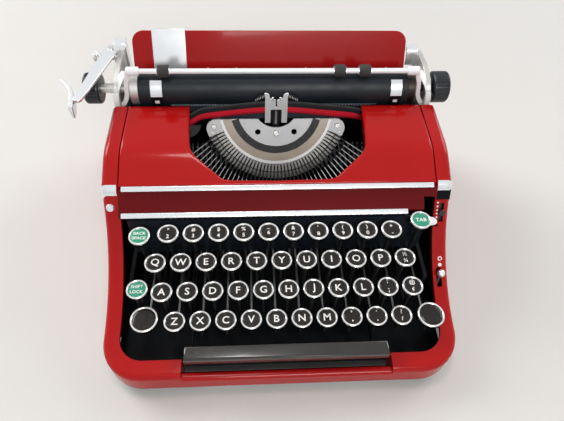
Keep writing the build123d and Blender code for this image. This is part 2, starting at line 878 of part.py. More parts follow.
def ribbon_vibrator():
    """Ribbon carrier at the printing point, on a stem that slides behind the segment."""
    left = type_axis_x - vibrator_half_width
    right = type_axis_x + vibrator_half_width
    rear = vibrator_y + vibrator_thickness
    fork = block(left, right, vibrator_y, rear, vibrator_low_z, vibrator_high_z)
    fork -= block(
        type_axis_x - window_half_width,
        type_axis_x + window_half_width,
        vibrator_y - 1,
        rear + 1,
        window_low_z,
        vibrator_high_z + 1,
    )
    stem_left = type_axis_x - vibrator_stem_half
    stem_right = type_axis_x + vibrator_stem_half
    return fork + block(stem_left, stem_right, vibrator_y, rear, vibrator_stem_low_z, vibrator_low_z)


def carriage_rail():
    """Fixed T-shaped rail between the cheeks."""
    y0 = rail_bar_y - rail_stem_depth / 2
    y1 = rail_bar_y + rail_stem_depth / 2
    rail = block(-cheek_x, cheek_x, y0, y1, rail_low_z, rail_neck_z)
    spread = (rail_head_depth - rail_stem_depth) / 2
    top = rail_neck_z + rail_head_height
    return rail + block(-cheek_x, cheek_x, y0 - spread, y1 + spread, rail_neck_z, top)


def rail_room():
    """Room for the rail's T through the sliding parts, with a running gap all round."""
    reach = 2 * bed_half_length
    y0 = rail_bar_y - rail_stem_depth / 2 - seat_gap
    y1 = rail_bar_y + rail_stem_depth / 2 + seat_gap
    spread = (rail_head_depth - rail_stem_depth) / 2
    head_low = rail_neck_z - seat_gap
    head_high = rail_neck_z + rail_head_height + seat_gap
    stem = block(-reach, reach, y0, y1, rail_low_z, head_high)
    return stem + block(-reach, reach, y0 - spread, y1 + spread, head_low, head_high)


def carriage_frame():
    """Sliding bed that hooks under the rail's head, with a front lip and a rear upstand."""
    half = bed_half_length
    bed = block(-half, half, bed_front_y, bed_rear_y, bed_low_z, bed_high_z)
    bed -= rail_room()
    trough_front = bed_front_y + bed_wall
    trough_rear = bed_rear_y - bed_wall
    bed -= block(-half + bed_wall, half - bed_wall, trough_front, trough_rear, bed_floor_z, bed_high_z + 1)
    bed += block(-half, half, lip_front_y, bed_front_y, bed_floor_z, lip_high_z)
    rear = bed_rear_y - upstand_thickness
    reach = table_half_width - table_corner
    bed += block(-reach, reach, rear, bed_rear_y, bed_high_z, upstand_high_z)
    lug_low = upstand_high_z - 2 * upstand_thickness
    rise = (upstand_high_z - table_low_z) / tan(radians(table_lean))
    lug_front = table_low_y + rise + table_thickness / sin(radians(table_lean)) + seat_gap
    for x in (-lug_x, lug_x):
        bed += block(x - lug_half_width, x + lug_half_width, lug_front, rear, lug_low, upstand_high_z)
    return bed


def end_plate_outline():
    """Side view of a carriage end."""
    outline = Polygon(
        (end_front_y, bed_low_z + end_low_rise),
        (end_heel_y, bed_low_z + end_low_rise),
        (end_rear_y, end_rear_low_z),
        (end_rear_y, end_rear_high_z),
        (end_crown_y, end_top_z),
        (end_shoulder_y, end_top_z - end_shoulder_drop),
        (end_front_y + end_brow_run, end_top_z - end_brow_drop),
        (end_front_y, bail_pivot_z + end_brow_rise),
        align=None,
    )
    outline -= Pos(bail_pivot_y, bail_pivot_z) * Circle(bail_pin_radius + running_clearance)
    outline -= Pos(platen_y, platen_z) * Circle(shaft_radius + running_clearance)
    return outline - Pos(release_y, release_z) * Circle(release_rod_radius + running_clearance)


def carriage_ends():
    """Bright end plates with the return lever's bracket on the left one."""
    ends = []
    outer = end_outer_x
    for side in (-1, 1):
        x = side * (outer - end_plate_thickness / 2)
        plate = side_plate(end_plate_outline(), x, end_plate_thickness)
        ends.append(plate - rail_room())
    top = bracket_low_z + bracket_thickness
    tip = -outer - bracket_reach
    ledge = block(tip, -outer, bracket_front_y, bracket_rear_y, bracket_low_z, top)
    knee_x = -outer - bracket_knee[0]
    knee_z = bracket_low_z - bracket_knee[1]
    knee = block(knee_x, -outer, bracket_front_y, bracket_rear_y, knee_z, bracket_low_z)
    pin_rise = return_thickness + 2 * seat_gap + return_pin_top
    pin = Pos(return_pivot_x, return_pivot_y, top + pin_rise / 2) * Cylinder(return_pin_radius, pin_rise)
    ends[0] += [ledge, knee, pin]
    return Compound(ends)


def paper_table():
    """Inclined plate behind the platen with rounded top corners."""
    plate = Pos(0, table_length / 2) * Rectangle(2 * table_half_width, table_length)
    plate = fillet(plate.vertices().group_by(Axis.Y)[-1], table_corner)
    return extrude(table_plane * plate, -table_thickness)


def paper_guide():
    """Side guide that hooks over the paper table's top edge and slides along it."""
    x = guide_centre_x - table_centre_x
    gap = seat_gap
    top = table_length + gap
    behind = -table_thickness - gap
    front = Pos(x, (guide_low + top) / 2, gap + guide_thickness / 2)
    guide = front * Box(guide_width, top - guide_low, guide_thickness)
    bridge_depth = table_thickness + 2 * gap + 2 * guide_thickness
    bridge = Pos(x, top + guide_thickness / 2, -table_thickness / 2)
    guide += bridge * Box(guide_width, guide_thickness, bridge_depth)
    hook = Pos(x, top - guide_hook / 2, behind - guide_thickness / 2)
    guide += hook * Box(guide_width, guide_hook, guide_thickness)
    return Location(table_plane) * guide


def paper_fingers():
    """Two curved fingers that hold the paper to the platen, each on a foot at the bed's lip."""
    inner = platen_radius + finger_gap
    outer = inner + finger_thickness
    wedge_reach = 3 * platen_radius
    middle = radians((finger_from + finger_to) / 2)
    wedge = Polygon(
        (0, 0),
        (wedge_reach * cos(radians(finger_from)), wedge_reach * sin(radians(finger_from))),
        (wedge_reach * cos(middle), wedge_reach * sin(middle)),
        (wedge_reach * cos(radians(finger_to)), wedge_reach * sin(radians(finger_to))),
        align=None,
    )
    arc = Pos(platen_y, platen_z) * ((Circle(outer) - Circle(inner)) & wedge)
    foot_front = lip_front_y - finger_foot_depth
    fingers = []
    for x in (finger_left_x, finger_right_x):
        left = x - finger_width / 2
        right = x + finger_width / 2
        foot = block(left, right, foot_front, lip_front_y, finger_foot_low_z, finger_foot_top_z)
        fingers.append(side_plate(arc, x, finger_width) + foot)
    return Compound(fingers)


def platen_roller():
    """Rubber cylinder with a bore for its shaft."""
    half = platen_half_length
    roller = rod_along_x(-half, half, platen_y, platen_z, platen_radius)
    return roller - rod_along_x(-half, half, platen_y, platen_z, shaft_radius + press_clearance)


def knob(x0, x1, radius):
    """Ribbed hand knob between two places on the platen shaft."""
    length = abs(x1 - x0)
    wheel = Cylinder(radius, length)
    wheel = fillet(wheel.edges().filter_by(GeomType.CIRCLE), knob_round)
    for n in range(knob_grooves):
        groove = Rot(0, 0, 360 * n / knob_grooves) * Pos(radius, 0, 0)
        wheel -= groove * Cylinder(knob_groove_radius, length - 2 * knob_round)
    return Pos((x0 + x1) / 2, platen_y, platen_z) * Rot(0, 90, 0) * wheel


def platen_shaft():
    """Platen shaft with its end collars and both hand knobs."""
    left_end = left_knob_inner + left_knob_length
    right_end = right_knob_inner + right_knob_length
    left_root = left_knob_inner + knob_round
    right_root = right_knob_inner + knob_round
    shaft = rod_along_x(-left_root, right_root, platen_y, platen_z, shaft_radius)
    start = platen_half_length + seat_gap
    for side in (-1, 1):
        shaft += rod_along_x(side * start, side * collar_end, platen_y, platen_z, collar_radius)
    shaft += knob(-left_end, -left_knob_inner, left_knob_radius)
    return shaft + knob(right_knob_inner, right_end, right_knob_radius)


def paper_bail():
    """Bail rod with end blocks on two arms, whose pins turn in the carriage ends."""
    reach = bail_arm_x + bail_arm_thickness / 2
    bail = rod_along_x(-reach, reach, bail_rod_y, bail_rod_z, bail_rod_radius)
    arm = capsule(bail_pivot_y, bail_pivot_z, bail_rod_y, bail_rod_z, bail_arm_half_width)
    for side in (-1, 1):
        start = side * (reach - bail_block_length)
        bail += side_plate(arm, side * bail_arm_x, bail_arm_thickness)
        bail += rod_along_x(start, side * reach, bail_rod_y, bail_rod_z, bail_block_radius)
        pin = side * bail_arm_x, side * end_outer_x
        bail += rod_along_x(*pin, bail_pivot_y, bail_pivot_z, bail_pin_radius)
    return bail


def bail_rollers():
    """Three small rollers on the bail rod."""
    rollers = []
    half = bail_roller_length / 2
    bore = bail_rod_radius + press_clearance
    for x in bail_roller_x:
        roller = rod_along_x(x - half, x + half, bail_rod_y, bail_rod_z, bail_roller_radius)
        rollers.append(roller - rod_along_x(x - half, x + half, bail_rod_y, bail_rod_z, bore))
    return Compound(rollers)


def carriage_release():
    """Two release levers on one rod across the back of the carriage."""
    release = rod_along_x(-end_outer_x, end_outer_x, release_y, release_z, release_rod_radius)
    for side, top_z in ((-1, release_left_top_z), (1, release_right_top_z)):
        x = side * release_lever_x
        lever = capsule(release_y, release_z, release_y, top_z, release_eye)
        release += side_plate(lever, x, release_lever_thickness)
        tab = Pos(x - release_tab_shift, release_y + release_eye / 2, top_z + release_eye)
        release += tab * Box(*release_tab)
    return release


def return_lever():
    """Line-space and return lever with a bent finger paddle."""
    low = bracket_low_z + bracket_thickness + seat_gap
    run_x, run_y = return_tip_run
    length = (run_x**2 + run_y**2) ** 0.5
    strip = Rot(0, 0, degrees(atan2(run_y, run_x))) * SlotCenterToCenter(length, return_width)
    strip = Pos(return_pivot_x + run_x / 2, return_pivot_y + run_y / 2) * strip
    strip -= Pos(return_pivot_x, return_pivot_y) * Circle(return_pin_radius + running_clearance)
    lever = extrude(Pos(0, 0, low) * strip, return_thickness)
    paddle = []
    for over, back in (paddle_back_run, paddle_mid_run, paddle_front_run):
        paddle.append((return_pivot_x + over, return_pivot_y + back))
    curve = ThreePointArc(*paddle)
    blade = offset(curve, paddle_thickness / 2, kind=Kind.ARC)
    blade = make_face(blade)
    return lever + extrude(Pos(0, 0, low - paddle_drop) * blade, paddle_drop + return_thickness)


def mainspring_drum():
    """Drum whose spring pulls the carriage, on a pin at the back plate."""
    drum = Cylinder(drum_radius, drum_width) - Cylinder(drum_pin_radius + running_clearance, drum_width)
    middle = drum_front_y + drum_width / 2
    return Pos(drum_x, middle, drum_z) * Rot(90, 0, 0) * drum


def colour_selector():
    """Ribbon colour lever that rises through a slot in the right side frame."""
    outline = capsule(selector_y, selector_pivot_z, selector_y, selector_ball_z, selector_stem_half)
    outline += Pos(selector_y, selector_pivot_z) * Circle(selector_eye)
    outline -= Pos(selector_y, selector_pivot_z) * Circle(selector_pin_radius + running_clearance)
    lever = side_plate(outline, selector_x, selector_thickness)
    return lever + Pos(selector_x, selector_y, selector_ball_z) * Sphere(selector_ball_radius)


def touch_lever():
    """Touch-control slider in a slot on the right side frame's slope."""
    shoe_z = -shell_wall - seat_gap - touch_shoe[2] / 2
    slider = Pos(0, 0, shoe_z) * Box(*touch_shoe)
    stem_high = touch_knob_height
    stem_low = shoe_z
    stem = Pos(0, 0, (stem_high + stem_low) / 2)
    slider += stem * Cylinder(touch_stem_radius, stem_high - stem_low)
    slider += Pos(0, 0, seat_gap + touch_knob_height / 2) * Cylinder(touch_knob_radius, touch_knob_height)
    return touch_place() * slider


letter_rows = {"upper": "qwertyuiop", "home": "asdfghjkl", "lower": "zxcvbnm"}
carriage_pieces = {
    "carriage_frame": carriage_frame(),
    "carriage_ends": carriage_ends(),
    "paper_table": paper_table(),
    "paper_guide": paper_guide(),
    "paper_fingers": paper_fingers(),
    "platen_roller": platen_roller(),
    "platen_shaft": platen_shaft(),
    "paper_bail": paper_bail(),
    "bail_rollers": bail_rollers(),
    "carriage_release": carriage_release(),
    "return_lever": return_lever(),
}
pieces = {
    "chassis": chassis(),
    "body_shell": body_shell(),
    "ribbon_cover": ribbon_cover(),
    "front_band": front_band(),
    "trim_strips": trim_strips(),
    "front_apron": front_apron(),
    "rubber_feet": rubber_feet(),
    "typebar_segment": typebar_segment(),
    "typebars": typebars(),
    "ribbon": ribbon(),
    "ribbon_spool_left": ribbon_spool(-1),
    "ribbon_spool_right": ribbon_spool(1),
    "ribbon_vibrator": ribbon_vibrator(),
    "carriage_rail": carriage_rail(),
    "mainspring_drum": mainspring_drum(),
    "colour_selector": colour_selector(),
    "touch_lever": touch_lever(),
    "space_bar": space_bar(),
    "shift_keys": shift_keys(),
    "shift_lock": key(lock_key, key_radius, lock_lever_x),
    "backspace_key": key(backspace, key_radius, backspace[0]),
    "tab_key": tab_key(),
    "figure_keys": figure_keys(),
}
for row, letters in letter_rows.items():
    for column, letter in enumerate(letters):
        pieces["key_" + letter] = character_key(row, column)
for name, piece in carriage_pieces.items():
    pieces[name] = Pos(carriage_x, 0, 0) * piece

os.makedirs("parts", exist_ok=True)
for name, piece in pieces.items():
    export_step(piece, os.path.join("parts", name + ".step"))
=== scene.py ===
import math

import bmesh
import bpy
from mathutils import Matrix, Vector


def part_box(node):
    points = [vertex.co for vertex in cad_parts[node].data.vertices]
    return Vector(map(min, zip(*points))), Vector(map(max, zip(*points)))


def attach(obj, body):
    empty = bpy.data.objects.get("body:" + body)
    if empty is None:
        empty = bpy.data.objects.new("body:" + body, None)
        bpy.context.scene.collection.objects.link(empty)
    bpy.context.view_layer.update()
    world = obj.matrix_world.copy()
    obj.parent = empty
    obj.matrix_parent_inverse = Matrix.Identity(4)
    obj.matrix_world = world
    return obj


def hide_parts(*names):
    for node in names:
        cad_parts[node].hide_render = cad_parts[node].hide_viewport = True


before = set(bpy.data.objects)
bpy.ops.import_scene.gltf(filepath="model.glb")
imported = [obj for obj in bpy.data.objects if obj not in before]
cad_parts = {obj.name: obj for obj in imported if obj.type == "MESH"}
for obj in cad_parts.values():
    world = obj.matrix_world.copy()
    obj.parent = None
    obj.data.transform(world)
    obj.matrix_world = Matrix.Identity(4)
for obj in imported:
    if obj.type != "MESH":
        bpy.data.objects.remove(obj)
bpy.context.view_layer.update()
mm = 0.001

# Rubber feet
# Four turned rubber feet carry the machine and are screwed up into the base pan.
# The rubber is dull and a little dusty, with a softly rounded rim.


def new_tree(sort, name, outputs, **inputs):
    """A node group with named sockets, what it is given and what it results in.

    An input is named with its default value, or with its kind where it has none.
    """
    tree = bpy.data.node_groups.new(name, sort)
    kinds = {int: "Int", float: "Float", 3: "Vector", 4: "Color"}
    for socket, value in inputs.items():
        bare = isinstance(value, str)
        kind = value if bare else kinds[len(value) if isinstance(value, tuple) else type(value)]
        made = tree.interface.new_socket(socket, in_out="INPUT", socket_type="NodeSocket" + kind)
        if not bare:
            made.default_value = value
    for socket, kind in outputs.items():
        tree.interface.new_socket(socket, in_out="OUTPUT", socket_type="NodeSocket" + kind)
    return tree, tree.nodes.new("NodeGroupInput").outputs, tree.nodes.new("NodeGroupOutput").inputs


def feed(tree, socket, value):
    """Links a socket to another one, or sets it to a plain value."""
    if isinstance(value, bpy.types.NodeSocket):
        tree.links.new(value, socket)
    else:
        socket.default_value = value


def add(tree, kind, outlet, **values):
    """Adds a node and gives one output; capitals name its sockets, other names its settings."""
    node = tree.nodes.new(kind)
    for name, value in values.items():
        if name[0].isupper():
            feed(tree, node.inputs[name.replace("_", " ")], value)
        else:
            setattr(node, name, value)
    return node.outputs[outlet]


def object_noise(tree, scale, detail):
    """A cloud texture on the piece's own coordinates."""
    place = add(tree, "ShaderNodeTexCoord", "Object")
    return add(tree, "ShaderNodeTexNoise", "Fac", Vector=place, Scale=scale, Detail=detail)


mottle, given, result = new_tree(
    "ShaderNodeTree", "mottle", {"Value": "Float"}, Scale=60.0, Low=0.2, High=0.4
)
cloud = object_noise(mottle, given["Scale"], 6.0)
limits = {"From_Min": 0.3, "From_Max": 0.7, "To_Min": given["Low"], "To_Max": given["High"]}
mottle.links.new(add(mottle, "ShaderNodeMapRange", "Result", Value=cloud, **limits), result["Value"])

grey, dark_grey = (0.5, 0.5, 0.5, 1.0), (0.2, 0.2, 0.2, 1.0)
two_tone, given, result = new_tree(
    "ShaderNodeTree", "two_tone", {"Color": "Color"}, Scale=30.0, Light=grey, Dark=dark_grey
)
cloud = object_noise(two_tone, given["Scale"], 4.0)
tones = {"Factor": cloud, "A": given["Light"], "B": given["Dark"]}
two_tone.links.new(add(two_tone, "ShaderNodeMix", "Result", data_type="RGBA", **tones), result["Color"])

grain, given, result = new_tree(
    "ShaderNodeTree", "grain", {"Normal": "Vector"}, Scale=900.0, Depth=0.02 * mm
)
cloud = object_noise(grain, given["Scale"], 2.0)
bump = add(grain, "ShaderNodeBump", "Normal", Height=cloud, Distance=given["Depth"])
grain.links.new(bump, result["Normal"])


def new_finish(name, light, dark, tone_scale, rough, texture, **shine):
    """A material whose colour, roughness and surface vary over the piece at real scale.

    rough is (least, most, scale), and texture is (scale, depth in millimetres).
    """
    finish = bpy.data.materials.new(name)
    finish.use_nodes = True
    tree = finish.node_tree
    shader = tree.nodes["Principled BSDF"]
    least, most, rough_scale = rough
    grain_scale, grain_depth = texture
    shader.inputs["Base Color"].default_value = (*light, 1.0)
    shader.inputs["Roughness"].default_value = (least + most) / 2
    for socket, value in shine.items():
        shader.inputs[socket.replace("_", " ")].default_value = value
    tones = {"Light": (*light, 1.0), "Dark": (*dark, 1.0)}
    tone = add(tree, "ShaderNodeGroup", "Color", node_tree=two_tone, Scale=tone_scale, **tones)
    polish = add(tree, "ShaderNodeGroup", "Value", node_tree=mottle, Scale=rough_scale, Low=least, High=most)
    skin = add(tree, "ShaderNodeGroup", "Normal", node_tree=grain, Scale=grain_scale, Depth=grain_depth * mm)
    for socket, value in (("Base Color", tone), ("Roughness", polish), ("Normal", skin)):
        tree.links.new(value, shader.inputs[socket])
    return finish


def turn(bm, profile, centre, axis, steps=48, material=0):
    """Turns a profile of (radius, along) points about an axis through centre, into bm."""
    closed = tuple(profile[0]) == tuple(profile[-1])
    rings = []
    for radius, along in profile[:-1] if closed else profile:
        count = 1 if radius < 1e-9 else steps
        ring = []
        for step in range(count):
            angle = 2 * math.pi * step / steps
            across = radius * math.cos(angle), radius * math.sin(angle)
            spot = {
                "X": (along, across[0], across[1]),
                "Y": (across[1], along, across[0]),
                "Z": (across[0], across[1], along),
            }[axis]
            ring.append(bm.verts.new(Vector(centre) + Vector(spot)))
        rings.append(ring)
    if closed:
        rings.append(rings[0])
    for first, second in zip(rings, rings[1:]):
        for step in range(steps):
            after = (step + 1) % steps
            corners = [first[step % len(first)], first[after % len(first)]]
            corners += [second[after % len(second)], second[step % len(second)]]
            corners = list(dict.fromkeys(corners))
            if len(corners) > 2:
                bm.faces.new(corners).material_index = material


def placed(name, data):
    """A new object in the scene."""
    made = bpy.data.objects.new(name, data)
    bpy.context.scene.collection.objects.link(made)
    return made


def make_piece(name, bm, finishes, sharp=35.0):
    """Turns a bmesh into a shown piece, smooth but for edges sharper than the given angle."""
    bmesh.ops.recalc_face_normals(bm, faces=bm.faces[:])
    mesh = bpy.data.meshes.new(name)
    bm.to_mesh(mesh)
    bm.free()
    mesh.polygons.foreach_set("use_smooth", [True] * len(mesh.polygons))
    mesh.set_sharp_from_angle(angle=math.radians(sharp))
    for finish in finishes:
        mesh.materials.append(finish)
    return placed(name, mesh)


def settle(piece, body, slot, *replaced):
    """Rides a piece on its body and hides the plain solids it stands for; its slot is not used."""
    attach(piece, body)
    if replaced:
        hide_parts(*replaced)


foot_rubber = new_finish(
    "foot_rubber", (0.035, 0.034, 0.033), (0.018, 0.018, 0.018),
    120.0, (0.62, 0.85, 200.0), (1800.0, 0.05),
)
foot_low, foot_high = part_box("rubber_feet")
foot_radius = 9.0 * mm
foot_rim = 1.2 * mm
foot_profile = [
    (0, 0),
    (foot_radius - foot_rim, 0),
    (foot_radius - 0.3 * foot_rim, 0.3 * foot_rim),
    (foot_radius, foot_rim),
    (0.82 * foot_radius, foot_high.z),
    (0, foot_high.z),
]
bm = bmesh.new()
for x in (foot_low.x + foot_radius, foot_high.x - foot_radius):
    for y in (foot_low.y + foot_radius, foot_high.y - foot_radius):
        turn(bm, foot_profile, (x, y, 0), "Z")
feet = make_piece("rubber_feet_turned", bm, [foot_rubber])
settle(feet, "machine", "foot_rubber", "rubber_feet")

# Chassis, front apron and carriage rail
# A black-enamelled steel pan with cheeks, cross beam and spool shelves holds every moving part.
# The apron is a flat plate in a glossier blue-black; the rail is ground steel between the cheeks.
# Two narrow strips close the gap between the pan and the shell against dust.


def cad_copy(node):
    """The node's own shape as one merged mesh, with its flat faces whole again."""
    bm = bmesh.new()
    bm.from_mesh(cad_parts[node].data)
    bmesh.ops.remove_doubles(bm, verts=bm.verts[:], dist=0.001 * mm)
    nearly_flat = math.radians(0.2)
    bmesh.ops.dissolve_limit(bm, angle_limit=nearly_flat, verts=bm.verts[:], edges=bm.edges[:])
    return bm


def soften_edges(piece, width, segments=2, angle=40.0):
    """Rounds a piece's sharp edges by a width in millimetres, as tumbling or polishing does."""
    round_over = piece.modifiers.new("round_over", "BEVEL")
    round_over.width = width * mm
    round_over.segments = segments
    round_over.limit_method = "ANGLE"
    round_over.angle_limit = math.radians(angle)
    round_over.use_clamp_overlap = False
    round_over.harden_normals = False


def dress(name, node, finish, body, slot, *rounding, sharp=35.0):
    """Shows a node's own shape in a finish, its edges rounded where a width is given."""
    piece = make_piece(name, cad_copy(node), [finish], sharp)
    if rounding:
        soften_edges(piece, *rounding)
    settle(piece, body, slot, node)


def join_rings(bm, rings, material=0):
    """Makes a row of like rings of vertices one closed solid."""
    sides = [bm.faces.new(rings[0]), bm.faces.new(rings[-1])]
    for first, second in zip(rings, rings[1:]):
        for n in range(len(first)):
            after = (n + 1) % len(first)
            sides.append(bm.faces.new((first[n], first[after], second[after], second[n])))
    for face in sides:
        face.material_index = material


def slab(bm, outline, place, depth, material=0):
    """Makes a flat outline of (u, v) points a slab; place is a matrix, and depth runs along w."""
    rings = [[bm.verts.new(place @ Vector((u, v, w))) for u, v in outline] for w in (0.0, depth)]
    join_rings(bm, rings, material)


def in_mm(points):
    """Points that are written in millimetres, in metres."""
    return [Vector(point) * mm for point in points]


def at(x, y, z):
    """A matrix that moves a shape to a place written in millimetres."""
    return Matrix.Translation((x * mm, y * mm, z * mm))


def oblong(left, low, right, high):
    """The outline of an upright rectangle, in millimetres."""
    return in_mm([(left, low), (right, low), (right, high), (left, high)])


black_enamel = new_finish(
    "black_enamel", (0.0065, 0.0078, 0.0100), (0.0035, 0.0042, 0.0055),
    40.0, (0.36, 0.52, 90.0), (1200.0, 0.02), Specular_IOR_Level=0.08,
)
apron_gloss = new_finish(
    "apron_gloss", (0.0150, 0.0200, 0.0270), (0.0100, 0.0135, 0.0185),
    30.0, (0.18, 0.3, 60.0), (900.0, 0.01), Specular_IOR_Level=0.25,
)
satin_steel = new_finish(
    "satin_steel", (0.66, 0.65, 0.63), (0.56, 0.55, 0.53),
    70.0, (0.28, 0.4, 160.0), (2200.0, 0.003), Metallic=0.65,
)
dress("chassis_finished", "chassis", black_enamel, "machine", "black_enamel")
dress("front_apron_finished", "front_apron", apron_gloss, "machine", "black_enamel")
dress("carriage_rail_finished", "carriage_rail", satin_steel, "machine", "satin_steel")
pan_edge, shell_inside = 128.0, 134.9
strip_front, strip_rear = -92.0, 70.0
strip_level, strip_thickness = 8.3, 1.0
bm = bmesh.new()
for side in (-1, 1):
    strip = oblong(side * pan_edge, strip_front, side * shell_inside, strip_rear)
    slab(bm, strip, at(0, 0, strip_level), strip_thickness * mm)
settle(make_piece("dust_strips", bm, [black_enamel]), "machine", "black_enamel")

# Body shell
# Front rail, side frames and rear wall are one steel pressing, stove-enamelled red.
# The enamel is glossy with a faint orange peel; faces turned inwards or downwards are black.
red_enamel = new_finish(
    "red_enamel", (0.45, 0.0062, 0.0058), (0.385, 0.0052, 0.0050),
    22.0, (0.16, 0.21, 70.0), (700.0, 0.006), Specular_IOR_Level=0.08, Coat_Weight=0.32, Coat_Roughness=0.05,
)
side_frames_from = 130.0 * mm
end_walls_from = 125.0 * mm
bm = cad_copy("body_shell")
for face in bm.faces:
    spot = face.calc_center_median()
    outwards = Vector((0, 0, 0))
    if abs(spot.x) > side_frames_from:
        outwards.x = math.copysign(1, spot.x)
    if abs(spot.y) > end_walls_from:
        outwards.y = math.copysign(1, spot.y)
    if face.normal.z < -0.2 or face.normal.dot(outwards) < -0.5:
        face.material_index = 1
shell = make_piece("body_shell_enamelled", bm, [red_enamel, black_enamel], 28.0)
settle(shell, "machine", "red_enamel", "body_shell")

# Front band, bright strips and caps
# The band is a separate panel, its red drawn deeper than the body's as painted shade on its front-facing
# slope, and its name place is left bare.
# Half-round nickel-plated strips are clipped along its edges, with a cap over each side frame.
pale_nickel = new_finish(
    "pale_nickel", (0.91, 0.93, 0.945), (0.87, 0.89, 0.905),
    60.0, (0.17, 0.21, 90.0), (1600.0, 0.0005), Metallic=0.75,
)
# The band's darker red is the body's red with painted shade: its slope faces away from the main light.
band_enamel_painted_shade = new_finish(
    "band_enamel_painted_shade", (0.140, 0.0036, 0.0047), (0.118, 0.0030, 0.0040),
    22.0, (0.16, 0.21, 70.0), (700.0, 0.006), Specular_IOR_Level=0.1, Coat_Weight=0.1, Coat_Roughness=0.06,
)
dress("front_band_enamelled", "front_band", band_enamel_painted_shade, "machine", "red_enamel", 0.4)
dress("trim_strips_bright", "trim_strips", pale_nickel, "machine", "bright_chrome", sharp=50.0)

# Ribbon cover
# The lid is drawn from thin sheet with a turned-down lip round the type opening.
# It is enamelled red like the body and turns on two pins at its front corners.
cover_low, cover_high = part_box("ribbon_cover")
face_slope = math.radians(24.0)
face_low_z = 99.98 * mm
roll_radius = 45.0 * mm
sheet_thickness = 1.2 * mm
lip_radius = 1.6 * mm
lip_drop = 8.0 * mm
lip_fade_from, lip_fade = 60.0 * mm, 14.0 * mm
edge_radius = 0.8 * mm
opening = [Vector((73.0 * mm, cover_high.y))]
opening += in_mm([(72.6, 50.0), (71.6, 30.0), (69.8, 19.0), (65.5, 13.0)])
opening += in_mm([(50.0, 0.2), (45.0, -3.9), (40.0, -5.8), (0.0, -5.8)])
roll_start_z = cover_high.z - roll_radius * (1 - math.cos(face_slope))
roll_start_y = cover_low.y + (roll_start_z - face_low_z) / math.tan(face_slope)
roll_end_y = roll_start_y + roll_radius * math.sin(face_slope)


def cover_height(y):
    """Height of the cover's outer face: slope, roll and flat top."""
    if y < roll_start_y:
        return face_low_z + (y - cover_low.y) * math.tan(face_slope)
    if y < roll_end_y:
        return cover_high.z - roll_radius + math.sqrt(roll_radius**2 - (roll_end_y - y) ** 2)
    return cover_high.z


def resample(points, count):
    """Evenly spaced points along a polyline."""
    lengths = [0.0]
    for first, second in zip(points, points[1:]):
        lengths.append(lengths[-1] + (second - first).length)
    made = []
    for step in range(count):
        want = lengths[-1] * step / (count - 1)
        span = max(n for n in range(len(points) - 1) if lengths[n] <= want + 1e-12)
        share = (want - lengths[span]) / (lengths[span + 1] - lengths[span])
        made.append(points[span].lerp(points[span + 1], share))
    return made


def smooth_line(points, rounds=3):
    """Rounds a polyline's corners by cutting them, with its ends kept."""
    for _ in range(rounds):
        cut = [points[0]]
        for first, second in zip(points, points[1:]):
            cut += [first.lerp(second, 0.25), first.lerp(second, 0.75)]
        points = cut + [points[-1]]
    return points


def both_halves(half):
    """A path from its right half: the left half to the middle, then the right one back."""
    return [Vector((-spot.x, spot.y)) for spot in half] + half[-2::-1]


steps_round = 57
steps_across = 26
inner_half = resample(smooth_line(opening), steps_round)
corner = Vector((cover_high.x, cover_low.y))
outer_edge = [Vector((cover_high.x, cover_high.y)), corner, Vector((0.0, cover_low.y))]
outer_half = resample(outer_edge, steps_round)
corner_step = min(range(steps_round), key=lambda n: (outer_half[n] - corner).length)
outer_half[corner_step] = corner
bm = bmesh.new()
rows = []
for inner, outer in zip(both_halves(inner_half), both_halves(outer_half)):
    away = (inner - outer).normalized()
    at_front = abs(outer.y - cover_low.y) < 1e-9
    at_side = abs(abs(outer.x) - cover_high.x) < 1e-9
    skirt = Vector((0, 1)) if at_front else Vector((math.copysign(1, -outer.x), 0))
    if at_front and at_side:
        skirt = Vector((math.copysign(1, -outer.x), 1)).normalized()
    rim_z = cover_height(outer.y)
    row = [(outer, cover_low.z), (outer, rim_z - edge_radius)]
    row.append((outer + skirt * edge_radius * 0.3, rim_z - edge_radius * 0.3))
    near = outer + skirt * edge_radius
    far = inner - away * lip_radius
    for step in range(steps_across):
        spot = near.lerp(far, step / (steps_across - 1))
        row.append((spot, cover_height(spot.y)))
    for angle in (30.0, 60.0, 90.0):
        reach = lip_radius * math.sin(math.radians(angle))
        fall = lip_radius * (1 - math.cos(math.radians(angle)))
        spot = inner - away * (lip_radius - reach)
        row.append((spot, cover_height(spot.y) - fall))
    rear_ease = min(1.0, max(0.12, (lip_fade_from - inner.y) / lip_fade))
    row.append((inner, cover_height(inner.y) - lip_radius - lip_drop * rear_ease))
    rows.append([bm.verts.new((spot.x, spot.y, z)) for spot, z in row])
for first, second in zip(rows, rows[1:]):
    for n in range(len(first) - 1):
        bm.faces.new((first[n], first[n + 1], second[n + 1], second[n]))
cover = make_piece("ribbon_cover_enamelled", bm, [red_enamel], 60.0)
wall = cover.modifiers.new("wall", "SOLIDIFY")
wall.thickness = sheet_thickness
wall.offset = -1.0
settle(cover, "lid", "red_enamel", "ribbon_cover")

# Type segment
# A cast half ring, slotted for the type bars, with a plain ring and a plate inside it.
# A black rest band, a bright lip and a thin black band of painted shade for a groove lie on it, and screws
# hold the plate and both ears.


def growing_tree(name, **inputs):
    """A geometry node group that takes and gives a geometry."""
    shape = {"Geometry": "Geometry"}
    return new_tree("GeometryNodeTree", name, shape, **shape, **inputs)


def worked_out(tree, operation, *numbers):
    """What a math node makes of its inputs, each a socket or a number."""
    node = tree.nodes.new("ShaderNodeMath")
    node.operation = operation
    for socket, value in zip(node.inputs, numbers):
        feed(tree, socket, value)
    return node.outputs["Value"]


def painted(tree, shape, material):
    """Sets one material on a shape inside a tree."""
    return add(tree, "GeometryNodeSetMaterial", "Geometry", Geometry=shape, Material=material)


def raised(tree, shape, lift):
    """Moves a shape inside a tree up by a length."""
    place = add(tree, "ShaderNodeCombineXYZ", "Vector", Z=lift)
    return add(tree, "GeometryNodeTransform", "Geometry", Geometry=shape, Translation=place)


